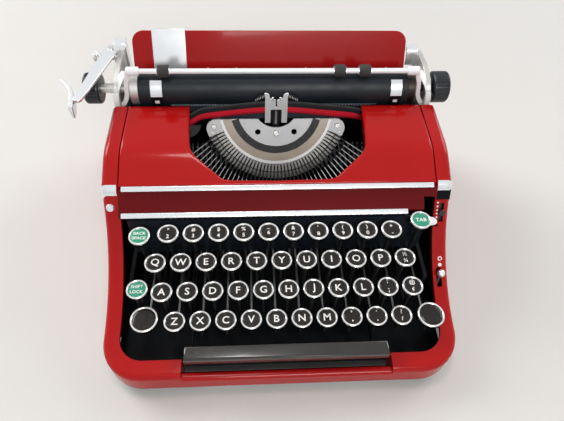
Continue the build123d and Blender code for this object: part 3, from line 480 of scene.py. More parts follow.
def end_tree(tree, shape, material, result):
    """Closes a node tree: instances made real and one material set."""
    real = add(tree, "GeometryNodeRealizeInstances", "Geometry", Geometry=shape)
    tree.links.new(painted(tree, real, material), result["Geometry"])


def shown_mesh(thing):
    """The plain mesh that an object comes to with its modifiers."""
    graph = bpy.context.evaluated_depsgraph_get()
    return bpy.data.meshes.new_from_object(thing.evaluated_get(graph))


def grow(tree, place, **values):
    """Runs a geometry node tree and gives its result as a plain mesh, moved by a matrix."""
    holder = placed("holder", bpy.data.meshes.new("seed"))
    growth = holder.modifiers.new("growth", "NODES")
    growth.node_group = tree
    for socket in tree.interface.items_tree:
        if socket.in_out == "INPUT" and socket.name in values:
            growth[socket.identifier] = values[socket.name]
    mesh = shown_mesh(holder)
    holder.modifiers.remove(growth)
    bpy.data.objects.remove(holder)
    mesh.transform(place)
    return mesh


def gather(name, meshes):
    """Joins meshes that have their own materials into one shown piece."""
    bm = bmesh.new()
    finishes = []
    for mesh in meshes:
        start = len(bm.faces)
        bm.from_mesh(mesh)
        bm.faces.ensure_lookup_table()
        for face in bm.faces[start:]:
            finish = mesh.materials[face.material_index]
            if finish not in finishes:
                finishes.append(finish)
            face.material_index = finishes.index(finish)
    return make_piece(name, bm, finishes)


def plain_mesh(bm, *finishes):
    """A bmesh as a mesh with its finishes, ready to be gathered."""
    mesh = bpy.data.meshes.new("made")
    bm.to_mesh(mesh)
    bm.free()
    for finish in finishes:
        mesh.materials.append(finish)
    return mesh


band_tree, given, result = growing_tree(
    "bent_band", Radius=0.04, Width=0.004, Height=0.001, Start=3.3, Sweep=2.8, Finish="Material"
)
angles = {"Start_Angle": given["Start"], "Sweep_Angle": given["Sweep"]}
arc = add(band_tree, "GeometryNodeCurveArc", "Curve", Resolution=72, Radius=given["Radius"], **angles)
section_size = {"Width": given["Width"], "Height": given["Height"]}
section = add(band_tree, "GeometryNodeCurvePrimitiveQuadrilateral", "Curve", **section_size)
sweep = add(band_tree, "GeometryNodeCurveToMesh", "Mesh", Curve=arc, Profile_Curve=section, Fill_Caps=True)
end_tree(band_tree, sweep, given["Finish"], result)

screw_tree, given, result = growing_tree(
    "slotted_screw", Radius=0.002, Height=0.0015, Slot=0.0006, Finish="Material"
)
crown = worked_out(screw_tree, "MULTIPLY", given["Radius"], 0.78)
radii = {"Radius_Bottom": given["Radius"], "Radius_Top": crown}
head = add(screw_tree, "GeometryNodeMeshCone", "Mesh", Vertices=28, Depth=given["Height"], **radii)
blade_long = worked_out(screw_tree, "MULTIPLY", given["Radius"], 3.0)
blade_sides = {"X": blade_long, "Y": given["Slot"], "Z": given["Height"]}
blade_size = add(screw_tree, "ShaderNodeCombineXYZ", "Vector", **blade_sides)
blade = raised(screw_tree, add(screw_tree, "GeometryNodeMeshCube", "Mesh", Size=blade_size), given["Height"])
slot_cut = {"operation": "DIFFERENCE", "solver": "EXACT", "Mesh_1": head, "Mesh_2": blade}
slotted = add(screw_tree, "GeometryNodeMeshBoolean", "Mesh", **slot_cut)
end_tree(screw_tree, slotted, given["Finish"], result)


def screw(radius, height, place, finish, turned=0.0):
    """One slotted screw head, in millimetres; place is a matrix that puts its seat and axis."""
    place = place @ Matrix.Rotation(math.radians(turned), 4, "Z")
    sizes = {"Radius": radius * mm, "Height": height * mm, "Slot": 0.36 * radius * mm}
    return grow(screw_tree, place, Finish=finish, **sizes)


def peg_profile(radius, start, stop):
    """The profile of a plain round peg, in millimetres."""
    return in_mm([(0, start), (radius, start), (radius, stop), (0, stop)])


def cut_away(piece, cutter):
    """Takes a cutter mesh out of a piece and leaves it flat shaded."""
    tool = placed("cutter", cutter)
    cut = piece.modifiers.new("cut", "BOOLEAN")
    cut.operation = "DIFFERENCE"
    cut.solver = "EXACT"
    cut.object = tool
    mesh = shown_mesh(piece)
    mesh.polygons.foreach_set("use_smooth", [False] * len(mesh.polygons))
    piece.modifiers.remove(cut)
    piece.data = mesh
    bpy.data.objects.remove(tool)


slot_steel = new_finish(
    "slotted_steel", (0.50, 0.51, 0.51), (0.37, 0.36, 0.33),
    90.0, (0.3, 0.46, 180.0), (1800.0, 0.004), Metallic=0.35,
)
ring_bronze = new_finish(
    "ring_bronze", (0.40, 0.345, 0.28), (0.30, 0.255, 0.21),
    60.0, (0.3, 0.44, 150.0), (1600.0, 0.004), Metallic=0.35,
)
plate_satin = new_finish(
    "plate_satin", (0.55, 0.565, 0.575), (0.45, 0.46, 0.47),
    50.0, (0.42, 0.5, 120.0), (1600.0, 0.002), Metallic=0.3,
)
soft_nickel = new_finish(
    "soft_nickel", (0.90, 0.92, 0.93), (0.84, 0.86, 0.87),
    90.0, (0.3, 0.38, 150.0), (1600.0, 0.001), Metallic=0.1,
)
rest_black = new_finish(
    "rest_black", (0.016, 0.017, 0.019), (0.008, 0.008, 0.009), 150.0, (0.5, 0.7, 300.0), (2600.0, 0.05)
)
segment_tilt = math.radians(58.0)
segment_frame = at(0.0, 72.0, 106.0) @ Matrix.Rotation(segment_tilt, 4, "X")
to_segment = segment_frame.inverted()
chord = 9.5 * mm
slots_from, ring_outer = 49.0 * mm, 63.5 * mm
plate_radius = 40.0 * mm
bm = cad_copy("typebar_segment")
for face in bm.faces:
    spots = [to_segment @ corner.co for corner in face.verts]
    radius = min(math.hypot(spot.x, spot.y) for spot in spots) + 0.1 * mm
    face.material_index = 0 if radius > slots_from else 1 if radius > plate_radius else 2
segment = make_piece("typebar_segment_cast", bm, [slot_steel, ring_bronze, plate_satin])
guide_opening = (19.8, 0.0, 2.6, 64)
left_hole, right_hole = (2.5, -16.0, -21.0, 32), (2.5, 16.0, -21.0, 32)
cut_reach = 4.0
bm = bmesh.new()
for radius, x, y, steps in (guide_opening, left_hole, right_hole):
    turn(bm, peg_profile(radius, -cut_reach, cut_reach), (x * mm, y * mm, 0), "Z", steps)
lug = oblong(-7.0, -31.0, 7.0, -14.0)
slab(bm, lug, at(0, 0, 0.02), 6.0 * mm, 2)
ear_round = 8.0 * mm
ear_level = -chord - ear_round
ear_middle = math.sqrt((ring_outer - ear_round) ** 2 - ear_level**2)
ear_end = math.degrees(math.atan2(ear_level, ear_middle))


def arc_points(x, y, radius, start, stop, steps):
    """Points on an arc about a spot, from one angle in degrees to another."""
    turns = [math.radians(start + (stop - start) * step / steps) for step in range(steps + 1)]
    return [(x + radius * math.cos(angle), y + radius * math.sin(angle)) for angle in turns]


def ear_arc(radius, side):
    """The rounded corner of an ear, from the straight edge to the ring's outer edge."""
    return [(side * u, v) for u, v in arc_points(ear_middle, ear_level, radius, 90, ear_end, 10)]


for side in (-1, 1):
    waste = ear_arc(ear_round, side)
    waste += [*in_mm([(side * 70.0, -26.0), (side * 70.0, -5.0)]), (side * ear_middle, -5.0 * mm)]
    slab(bm, waste, at(0, 0, -12.0), 16.0 * mm)
bmesh.ops.recalc_face_normals(bm, faces=bm.faces[:])
cutter = plain_mesh(bm, slot_steel, ring_bronze, plate_satin)
cutter.transform(segment_frame)
cut_away(segment, cutter)
settle(segment, "machine", "satin_steel", "typebar_segment")


def half_band(radius, width, height, lift, finish):
    """A band bent round the segment below its straight edge, lying on its face, in millimetres."""
    dip = math.asin((chord + 0.4 * mm) / (radius * mm))
    sizes = {"Radius": radius * mm, "Width": width * mm, "Height": height * mm}
    bend = {"Start": math.pi + dip, "Sweep": math.pi - 2 * dip}
    return grow(band_tree, segment_frame @ at(0, 0, lift), Finish=finish, **sizes, **bend)


def leaning(reach, lean, side):
    """A spot on the segment's face: a reach in millimetres, so many degrees to a side of its foot."""
    angle = math.radians(lean)
    return side * reach * mm * math.sin(angle), -reach * mm * math.cos(angle)


rest_band = half_band(36.8, 6.2, 1.0, 0.4, rest_black)
lip = half_band(48.4, 2.4, 1.3, 1.2, soft_nickel)
# A thin black band across the slotted ring stands for the groove there: painted shade.
groove_shade_band = half_band(57.5, 0.8, 0.5, 1.0, rest_black)
segment_trim = [rest_band, lip, groove_shade_band]
bm = bmesh.new()
for side in (-1, 1):
    ear = [leaning(49.9, 67.2 + 11.4 * step / 4, side) for step in range(5)]
    ear += ear_arc(ear_round - 0.3 * mm, side)
    ear += [leaning(63.2, 90 + ear_end - 1.5 * step, side) for step in range(4)]
    slab(bm, ear, segment_frame @ at(0, 0, 0.8), 0.5 * mm)
segment_trim.append(plain_mesh(bm, plate_satin))
ear_screw, ear_rivet = (56.0, 74.0, 2.3), (59.5, 69.5, 1.1)
for side in (-1, 1):
    for reach, lean, head_radius in (ear_screw, ear_rivet):
        place = segment_frame @ Matrix.Translation((*leaning(reach, lean, side), 1.3 * mm))
        segment_trim.append(screw(head_radius, 0.7 * head_radius, place, satin_steel, 30.0 * side))
segment_trim.append(screw(2.7, 1.4, segment_frame @ at(0, -22.0, 0), satin_steel, 65.0))
settle(gather("segment_bands_and_screws", segment_trim), "machine", "satin_steel")

# Type bars
# Thin steel bars hang in the segment's slots like spokes and lie forwards in the basket.
# Each is stamped from blackened strip with a type slug soldered on; a pale strip along the outer part of its
# top edge is a painted highlight.
lamp_black = new_finish(
    "lamp_black", (0.030, 0.031, 0.033), (0.014, 0.014, 0.015),
    140.0, (0.4, 0.6, 300.0), (2400.0, 0.02), Metallic=0.4,
)
bar_count = 42
slot_fan = math.radians(132.0)
bar_pivot = at(0, -55.0, -2.0)
bar_length = 50.0 * mm
bar_thickness = 0.8 * mm
bar_root = 1.8 * mm
bar_tip = 1.3 * mm
taper_end = 0.75 * bar_length
slug_length = 6.0 * mm
slug_half = 2.4 * mm
slug_thickness = 2.0 * mm
slug_from, slug_to = bar_length - slug_length / 2, bar_length + slug_length / 2
along = Vector((0, -math.cos(segment_tilt), math.sin(segment_tilt)))
across = Vector((0, math.sin(segment_tilt), math.cos(segment_tilt)))
bar_place = bar_pivot @ Matrix((along, across, along.cross(across))).transposed().to_4x4()


def bar_slab(bm, outline, thickness):
    """A slab along the middle bar, with half its thickness to each side."""
    slab(bm, outline, bar_place @ Matrix.Translation((0, 0, -thickness / 2)), thickness)


bm = bmesh.new()
lower = [(-bar_root, -0.6 * bar_root), (0, -bar_root), (taper_end, -bar_tip), (bar_length, -bar_tip)]
bar_slab(bm, lower + [(u, -v) for u, v in reversed(lower)], bar_thickness)
bevel, chamfer = slug_to - 0.8 * mm, 0.4 * mm
for low, high in ((-slug_half, -0.25 * slug_half), (0.25 * slug_half, slug_half)):
    outline = [(slug_from, low), (bevel, low), (slug_to, low + chamfer)]
    bar_slab(bm, outline + [(slug_to, high - chamfer), (bevel, high), (slug_from, high)], slug_thickness)
core_to = slug_to - 2.2 * mm
outline = [(slug_from, -slug_half), (core_to, -slug_half), (core_to, slug_half), (slug_from, slug_half)]
bar_slab(bm, outline, 0.7 * slug_thickness)
one_bar = plain_mesh(bm, lamp_black)
# A pale strip on the outer part of each bar's top edge: a painted highlight, left off the inner part that
# lies in shade.
highlight_share = 0.42
highlight_from = highlight_share * bar_length
highlight_height = bar_root + (bar_tip - bar_root) * highlight_share / 0.75
proud = 0.1 * mm
bm = bmesh.new()
outline = [(highlight_from, highlight_height - 0.3 * mm), (slug_from, bar_tip - 0.4 * mm)]
outline += [(slug_from, bar_tip + proud), (taper_end, bar_tip + proud), (highlight_from, highlight_height + proud)]
bar_slab(bm, outline, 0.5 * mm)
highlight_edge = plain_mesh(bm, plate_satin)

fan_tree, given, result = growing_tree("bar_fan", Bar="Object", Count=42, Fan=2.3, Finish="Material")
row = add(fan_tree, "GeometryNodeMeshLine", "Mesh", Offset=(0, 0, 0), Count=given["Count"])
step = add(fan_tree, "GeometryNodeInputIndex", "Index")
share = worked_out(fan_tree, "DIVIDE", step, worked_out(fan_tree, "SUBTRACT", given["Count"], 1.0))
turned = worked_out(fan_tree, "MULTIPLY", worked_out(fan_tree, "SUBTRACT", share, 0.5), given["Fan"])
spin = add(fan_tree, "ShaderNodeCombineXYZ", "Vector", Z=turned)
pattern = add(fan_tree, "GeometryNodeObjectInfo", "Geometry", Object=given["Bar"])
fan = {"Points": row, "Instance": pattern, "Rotation": spin}
spread = add(fan_tree, "GeometryNodeInstanceOnPoints", "Instances", **fan)
end_tree(fan_tree, spread, given["Finish"], result)
bars = []
for pattern_mesh, finish in ((one_bar, lamp_black), (highlight_edge, plate_satin)):
    pattern_bar = placed("pattern_bar", pattern_mesh)
    bars.append(grow(fan_tree, segment_frame, Bar=pattern_bar, Count=bar_count, Fan=slot_fan, Finish=finish))
    bpy.data.objects.remove(pattern_bar)
settle(gather("typebars_fanned", bars), "machine", "satin_steel", "typebars")

# Ribbon spools
# Each spool is two steel discs on a hub, wound with inked ribbon, and turns on a spindle.
# The discs are pressed with a shallow sink, and their rims are rounded.
spool_flange = 1.2 * mm
spool_bore = 3.4 * mm
pack_radius = 17.0 * mm
hub_radius = 5.5 * mm
flange_sink = 0.3 * mm
for side in ("left", "right"):
    low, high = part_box("ribbon_spool_" + side)
    seat = ((low.x + high.x) / 2, (low.y + high.y) / 2, low.z)
    reach = (high.x - low.x) / 2
    tall = high.z - low.z
    bm = bmesh.new()
    for z, inward in ((0.0, 1), (tall, -1)):
        face = z + inward * spool_flange
        profile = [
            (spool_bore, z),
            (hub_radius, z),
            (hub_radius + 1.0 * mm, z + inward * flange_sink),
            (reach - 1.6 * mm, z + inward * flange_sink),
            (reach - 0.5 * mm, z),
            (reach, z + inward * 0.5 * spool_flange),
            (reach - 0.3 * mm, face),
            (spool_bore, face),
            (spool_bore, z),
        ]
        turn(bm, profile, seat, "Z", 64)
    profile = [(spool_bore, spool_flange), (pack_radius, spool_flange)]
    profile += [(pack_radius, tall - spool_flange), (spool_bore, tall - spool_flange), profile[0]]
    turn(bm, profile, seat, "Z", 64, 1)
    spool = make_piece("ribbon_spool_" + side + "_wound", bm, [satin_steel, rest_black])
    settle(spool, side + "_spool", "satin_steel", "ribbon_spool_" + side)

# Inked ribbon
# Woven cotton, half an inch wide, inked black over red, runs from spool to spool past the type.
# It lies in the vibrator's guides and turns over a pin on each side.
ribbon_width = 13.0 * mm
ribbon_thickness = 0.15 * mm
ribbon_route = [
    (-104.4, 56.6, 99.0),
    (-97.0, 58.6, 98.8),
    (-88.2, 60.6, 98.2),
    (-79.0, 63.6, 97.4),
    (-71.0, 67.0, 99.6),
    (-65.0, 68.7, 103.0),
    (-45.0, 68.8, 105.9),
    (-12.0, 68.8, 110.0),
    (12.0, 68.8, 110.0),
    (45.0, 68.8, 105.9),
    (70.0, 68.8, 102.7),
    (79.0, 66.4, 100.4),
    (88.2, 62.7, 99.2),
    (97.0, 59.4, 99.0),
    (104.4, 56.6, 99.0),
]


def cloth_place(tree, axis):
    """Where a point lies along or across the uncut cloth, in metres."""
    place = add(tree, "ShaderNodeUVMap", "UV", uv_map="cloth")
    return add(tree, "ShaderNodeSeparateXYZ", axis, Vector=place)


weave, given, result = new_tree(
    "ShaderNodeTree", "weave", {"Normal": "Vector"}, Threads=4000.0, Depth=0.03 * mm
)
waves = []
for axis in ("X", "Y"):
    turns = worked_out(weave, "MULTIPLY", cloth_place(weave, axis), given["Threads"])
    waves.append(worked_out(weave, "SINE", turns))
height = worked_out(weave, "MULTIPLY_ADD", worked_out(weave, "MULTIPLY", *waves), 0.5, 0.5)
bump = add(weave, "ShaderNodeBump", "Normal", Height=height, Distance=given["Depth"])
weave.links.new(bump, result["Normal"])
ink_cloth = new_finish(
    "ink_cloth", (0.95, 0.015, 0.045), (0.84, 0.011, 0.034), 60.0, (0.55, 0.75, 150.0), (2000.0, 0.02)
)
black_ink = (0.012, 0.012, 0.014, 1.0)
tree = ink_cloth.node_tree
cloth = tree.nodes["Principled BSDF"].inputs
red_ink = cloth["Base Color"].links[0].from_socket
upper = worked_out(tree, "GREATER_THAN", cloth_place(tree, "Y"), 0.5 * ribbon_width)
inks = add(tree, "ShaderNodeMix", "Result", data_type="RGBA", Factor=upper, A=red_ink, B=black_ink)
tree.links.new(inks, cloth["Base Color"])
tree.links.new(add(tree, "ShaderNodeGroup", "Normal", node_tree=weave), cloth["Normal"])
bm = bmesh.new()
uv = bm.loops.layers.uv.new("cloth")
route = resample(smooth_line(in_mm(ribbon_route)), 120)
steps_across = 4
rows = []
run = 0.0
for n, spot in enumerate(route):
    run += (spot - route[n - 1]).length if n else 0.0
    heights = [(step / steps_across - 0.5) * ribbon_width for step in range(steps_across + 1)]
    rows.append((run, [bm.verts.new(spot + Vector((0, 0, height))) for height in heights]))
for (run, first), (after, second) in zip(rows, rows[1:]):
    for n in range(steps_across):
        face = bm.faces.new((first[n], second[n], second[n + 1], first[n + 1]))
        corners = ((run, n), (after, n), (after, n + 1), (run, n + 1))
        for loop, (length, step) in zip(face.loops, corners):
            loop[uv].uv = (length, step * ribbon_width / steps_across)
ribbon = make_piece("ribbon_inked", bm, [ink_cloth])
body = ribbon.modifiers.new("body", "SOLIDIFY")
body.thickness = ribbon_thickness
body.offset = 0.0
settle(ribbon, "machine", "ink_ribbon", "ribbon")

# Ribbon vibrator
# A small nickel-plated fork carries the ribbon up to the printing point at each stroke.
# It is stamped with a notch, a keyhole and a window, and two studs guide the type.
vibrator_front = 66.8
vibrator_thickness = 1.4
upright = at(0, vibrator_front + vibrator_thickness, 0) @ Matrix.Rotation(math.radians(90.0), 4, "X")
fork_half = [
    (-0.6, 111.3),
    (-1.1, 111.9),
    (-1.1, 112.9),
    (-0.6, 113.4),
    (-0.6, 118.6),
    (-4.8, 119.6),
    (-5.6, 121.0),
    (-5.9, 123.6),
    (-7.2, 125.2),
    (-8.8, 125.9),
    (-10.0, 125.4),
    (-10.0, 124.2),
    (-9.4, 121.8),
    (-9.6, 112.0),
    (-9.6, 93.6),
    (-4.8, 93.6),
    (-4.8, 108.0),
    (-4.2, 108.6),
]
fork = fork_half + [(-u, v) for u, v in reversed(fork_half)]
bm = bmesh.new()
slab(bm, in_mm(fork), upright, vibrator_thickness * mm)
bright_plate = plain_mesh(bm, soft_nickel)
bm = bmesh.new()
slab(bm, oblong(-3.0, 78.0, 3.0, 107.6), upright, 0.4 * vibrator_thickness * mm)
slab(bm, oblong(-5.6, 93.8, 5.6, 109.4), upright @ at(0, 0, -0.2), 0.25 * mm)
stem = plain_mesh(bm, lamp_black)
bm = bmesh.new()
slab(bm, oblong(-0.9, 92.0, 0.9, 106.4), upright, 0.7 * vibrator_thickness * mm)
rod = plain_mesh(bm, satin_steel)
stud_x, stud_z = 3.2, 121.4
stud = [(0, -1.0), (0.7, -0.75), (1.0, 0), (0.7, 0.75), (0, 1.0)]
wing = [(9.0, 124.6), (14.0, 123.4), (19.0, 119.0), (18.6, 116.6), (13.0, 120.0), (9.0, 121.0)]
stud_bm = bmesh.new()
wing_bm = bmesh.new()
for side in (-1, 1):
    spot = Vector((side * stud_x, vibrator_front - 0.2, stud_z)) * mm
    turn(stud_bm, in_mm(stud), spot, "Y", 16)
    stalk = oblong(side * stud_x - 0.3, 118.4, side * stud_x + 0.3, stud_z)
    slab(stud_bm, stalk, upright, vibrator_thickness * mm)
    slab(wing_bm, in_mm((side * u, v) for u, v in wing), upright @ at(0, 0, 0.3), 0.5 * mm)
studs = plain_mesh(stud_bm, pale_nickel)
wings = plain_mesh(wing_bm, rest_black)

tick_tree, given, result = growing_tree(
    "tick_row", Count=10, Step=(0.002, 0, 0), Size=(0.0003, 0.001, 0.0001), Finish="Material"
)
row = add(tick_tree, "GeometryNodeMeshLine", "Mesh", Count=given["Count"], Offset=given["Step"])
mark = add(tick_tree, "GeometryNodeMeshCube", "Mesh", Size=given["Size"])
spread = add(tick_tree, "GeometryNodeInstanceOnPoints", "Instances", Points=row, Instance=mark)
end_tree(tick_tree, spread, given["Finish"], result)
white_paint = new_finish(
    "white_paint", (0.90, 0.89, 0.86), (0.80, 0.79, 0.76), 200.0, (0.3, 0.45, 300.0), (1500.0, 0.01)
)


def tick_row(count, step, size, place):
    """A row of equal white marks, in millimetres; place is a matrix for the first and its directions."""
    step, size = in_mm([step, size])
    return grow(tick_tree, place, Count=count, Step=step[:], Size=size[:], Finish=white_paint)


wing_ticks = []
for side in (-1, 1):
    place = at(side * 10.6, vibrator_front + 0.55, 122.6)
    wing_ticks.append(tick_row(6, (side * 1.35, 0, -0.75), (0.35, 0.3, 2.2), place))
vibrator = gather("ribbon_vibrator_stamped", [bright_plate, stem, rod, studs, wings, *wing_ticks])
settle(vibrator, "vibrator", "satin_steel", "ribbon_vibrator")

# Carriage bed and line scale
# The bed is a black-enamelled casting that hooks under the rail and slides along it.
# A blued scale strip is screwed to its front lip and follows the platen, with a tick for each space.
dress("carriage_bed", "carriage_frame", black_enamel, "carriage", "black_enamel")
bed_low, bed_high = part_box("carriage_frame")
roller_low, roller_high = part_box("platen_roller")
platen_middle = (roller_low + roller_high) / 2
platen_radius = (roller_high.z - roller_low.z) / 2


def strip_along(bm, path, width, thickness, material=0, facing=None):
    """Bends a flat strip, in millimetres, along a path; it lies across, or square to where it faces."""
    rings = []
    for n, spot in enumerate(path):
        ahead = path[min(n + 1, len(path) - 1)] - path[max(n - 1, 0)]
        wide = Vector((1, 0, 0)) if facing is None else ahead.cross(Vector(facing)).normalized()
        face = ahead.cross(wide).normalized() * thickness * mm / 2
        side = wide * width * mm / 2
        rings.append([bm.verts.new(spot + s) for s in (-side - face, side - face, side + face, face - side)])
    join_rings(bm, rings, material)


def by_platen(x, radius, degrees):
    """A spot at a radius round the platen's axis, turned from straight behind it."""
    angle = math.radians(degrees)
    y, z = platen_middle.y + radius * math.cos(angle), platen_middle.z + radius * math.sin(angle)
    return Vector((x, y, z))


blued_steel = new_finish(
    "blued_steel", (0.095, 0.118, 0.150), (0.055, 0.070, 0.092),
    60.0, (0.3, 0.45, 140.0), (1500.0, 0.004), Metallic=0.3,
)
scale_radius = platen_radius + 0.9 * mm
scale_half = 88.0
scale_thickness = 0.6
scale_margin = 2.0
scale_path = [by_platen(platen_middle.x, scale_radius, degrees) for degrees in (196, 203, 210, 217, 225)]
scale_path.append(Vector((platen_middle.x, bed_low.y + 0.4 * mm, 98.6 * mm)))
scale_path.append(Vector((platen_middle.x, bed_low.y - 0.2 * mm, 91.0 * mm)))
bm = bmesh.new()
strip_along(bm, scale_path, 2 * scale_half, scale_thickness)
tick_size = (0.45, 0.12, 1.6)
tick_step = 2.54
tick_count = int((2 * scale_half - 2 * scale_margin) / tick_step)
tick_turn = 199.5
tick_left = platen_middle.x + (scale_margin - scale_half) * mm
tick_place = Matrix.Translation(by_platen(tick_left, scale_radius + 0.3 * mm, tick_turn))
tick_place = tick_place @ Matrix.Rotation(math.radians(tick_turn - 180), 4, "X")
scale_ticks = tick_row(tick_count, (tick_step, 0, 0), tick_size, tick_place)
settle(gather("line_scale", [plain_mesh(bm, blued_steel), scale_ticks]), "carriage", "satin_steel")

# Carriage ends
# Flat nickel-plated plates carry the platen's shaft, and each has a bowed strip along its front.
# The left one has a ledge for the return lever, with a stop screw and its nut.
dress("carriage_ends_plated", "carriage_ends", satin_steel, "carriage", "bright_chrome", 0.35)
ends_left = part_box("carriage_ends")[0].x
carriage_x = (bed_low.x + bed_high.x) / 2


def beside(side, points):
    """A smooth path through points in millimetres, on one side of the carriage's middle."""
    return smooth_line([Vector((carriage_x + side * x * mm, y * mm, z * mm)) for x, y, z in points])


bow_width = 4.8
bow_thickness = 1.2
bow_path = [(127.0, 94.0, 127.6), (129.4, 85.6, 126.4), (132.2, 77.6, 122.4), (133.8, 74.0, 114.6)]
bow_path += [(133.6, 72.9, 106.0), (133.0, 72.8, 97.0), (132.6, 72.8, 87.0)]
bm = bmesh.new()
for side in (-1, 1):
    strip_along(bm, beside(side, bow_path), bow_width, bow_thickness, facing=(0.0, -0.8, 0.6))
end_fittings = [plain_mesh(bm, soft_nickel)]
ledge_low, ledge_high = 126.0, 130.0
ledge_inset = 0.4
stop_x, stop_y = -153.6, 113.5
ear_radius = 3.9
ear_root = ends_left / mm + 2.0
ear = arc_points(stop_x, stop_y, ear_radius, 90, 270, 12)
ear += [(ear_root, stop_y - ear_radius), (ear_root, stop_y + ear_radius)]
bm = bmesh.new()
slab(bm, in_mm(ear), at(0, 0, ledge_low + ledge_inset), (ledge_high - ledge_low - 2 * ledge_inset) * mm)
end_fittings.append(plain_mesh(bm, satin_steel))
end_fittings.append(screw(3.6, 3.0, at(stop_x, stop_y, ledge_high - ledge_inset), pale_nickel, -35.0))
nut = [(0, -4.6), (2.4, -4.6), (3.2, -3.8), (3.2, -0.4), (2.4, 0.4), (0, 0.4)]
bm = bmesh.new()
turn(bm, in_mm(nut), Vector((stop_x, stop_y, ledge_low)) * mm, "Z", 24)
end_fittings.append(plain_mesh(bm, pale_nickel))
end_piece = gather("carriage_end_strips", end_fittings)
soften_edges(end_piece, 0.25, 2, 50.0)
settle(end_piece, "carriage", "bright_chrome")

# Platen
# A wooden-cored rubber cylinder, ground true, takes the blow of the type.
# Its rubber is black, a little polished by use, with fine marks round it.
platen_rubber = new_finish(
    "platen_rubber", (0.0125, 0.0170, 0.0215), (0.0075, 0.0100, 0.0130),
    35.0, (0.36, 0.5, 90.0), (900.0, 0.02), Specular_IOR_Level=0.25,
)
dress("platen_roller_ground", "platen_roller", platen_rubber, "platen", "platen_rubber", 0.6)

# Platen shaft, collars and knobs
# A steel shaft carries a bright collar on the left, a dark ratchet collar on the right
# and two moulded black knobs with ribbed rims, pressed on its ends.
knob_black = new_finish(
    "knob_black", (0.012, 0.0175, 0.0235), (0.007, 0.0095, 0.0125),
    80.0, (0.24, 0.4, 140.0), (1200.0, 0.03),
)
ratchet_brown = new_finish(
    "ratchet_brown", (0.060, 0.046, 0.036), (0.028, 0.022, 0.018),
    90.0, (0.3, 0.5, 160.0), (1200.0, 0.02), Metallic=0.8,
)
left_knob_from = -145.0 * mm
right_knob_from = 134.5 * mm
ratchet_from = 60.0 * mm
bm = cad_copy("platen_shaft")
for face in bm.faces:
    x = face.calc_center_median().x
    if x < left_knob_from or x > right_knob_from:
        face.material_index = 1
    elif x > ratchet_from:
        face.material_index = 2
shaft = make_piece("platen_shaft_and_knobs", bm, [satin_steel, knob_black, ratchet_brown])
settle(shaft, "platen", "black_enamel", "platen_shaft")

# Paper bail
# A bright rod holds the sheet to the platen; two bent strip arms pivot it on the carriage ends.
# Three rubber rollers with steel hubs run on the rod.
bail_rod = Vector((carriage_x, 82.2 * mm, 137.0 * mm))
bail_pivot = Vector((carriage_x, 77.5 * mm, 104.0 * mm))
rod_half, rod_radius = 120.6, 2.2
block_from, block_to = 111.6, 121.8
pivot_from, pivot_to = 129.6, 135.2
arm_width, arm_thickness = 3.8, 1.6
arm_path = [(120.6, 82.0, 138.4), (121.8, 81.4, 132.0), (123.6, 80.8, 128.0), (124.4, 79.4, 120.0)]
arm_path += [(125.0, 78.2, 114.0), (128.0, 76.6, 108.5), (131.0, 76.8, 105.0)]
bm = bmesh.new()
turn(bm, peg_profile(rod_radius, -rod_half, rod_half), bail_rod, "X", 24)
for side in (-1, 1):
    start, stop = sorted((side * block_from, side * block_to))
    block = [(0, start), (3.2, start), (3.8, start + 0.6), (3.8, stop - 0.6), (3.2, stop), (0, stop)]
    turn(bm, in_mm(block), bail_rod, "X", 24)
    strip_along(bm, beside(side, arm_path), arm_width, arm_thickness, facing=(0.0, -1.0, 0.2))
    start, stop = sorted((side * pivot_from, side * pivot_to))
    turn(bm, peg_profile(rod_radius, start, stop), bail_pivot, "X", 20)
bail = make_piece("paper_bail_bent", bm, [soft_nickel])
soften_edges(bail, 0.3, 2, 60.0)
settle(bail, "bail", "bright_chrome", "paper_bail")
roller_half = 4.75
tyre = [(4.4, -1.0), (5.2, -0.82), (5.2, 0.82), (4.4, 1.0), (3.4, 1.0), (3.4, -1.0), (4.4, -1.0)]
hub = [(2.4, -1.1), (3.5, -1.1), (3.5, 1.1), (2.4, 1.1), (2.4, -1.1)]
bm = bmesh.new()
for x in (-92.7, 53.0, 74.0):
    for material, profile in enumerate((tyre, hub)):
        profile = in_mm((radius, share * roller_half) for radius, share in profile)
        turn(bm, profile, (x * mm, bail_rod.y, bail_rod.z), "X", 36, material)
rollers = make_piece("bail_rollers_tyred", bm, [foot_rubber, pale_nickel])
settle(rollers, "bail", "foot_rubber", "bail_rollers")

# Paper fingers
# Two springy nickel-plated fingers lie against the platen and are riveted to black feet on the bed; the
# lower half of each, curving under the platen, is black as a painted dark reflection.
# They are bent from thin strip, and each has a small square peg on its face.
finger_radius = platen_radius + 0.7 * mm
finger_width, finger_thickness = 9.6, 0.6
finger_top, finger_foot = 120.0, 229.0
foot_thickness = 1.2
bm = bmesh.new()
for x in (-99.8, 102.1):
    turns = [finger_top + (finger_foot - finger_top) * step / 14 for step in range(15)]
    path = [by_platen(x * mm, finger_radius, degrees) for degrees in turns]
    strip_along(bm, path[:7], finger_width, finger_thickness)
    # The lower half of each finger, where it curves under the platen, is black: a painted dark reflection.
    strip_along(bm, path[6:], finger_width, finger_thickness, 1)
    foot = in_mm([(x, 75.0, 103.6), (x, 75.3, 99.0), (x, 75.3, 94.0)])
    strip_along(bm, foot, finger_width, foot_thickness, 1)
    peg_place = at(x, 70.2, 115.1) @ Matrix.Rotation(math.radians(90), 4, "X")
    slab(bm, oblong(-1.8, -1.2, 1.8, 1.2), peg_place, 0.6 * mm, 2)
fingers = make_piece("paper_fingers_sprung", bm, [pale_nickel, black_enamel, soft_nickel])
settle(fingers, "carriage", "bright_chrome", "paper_fingers")

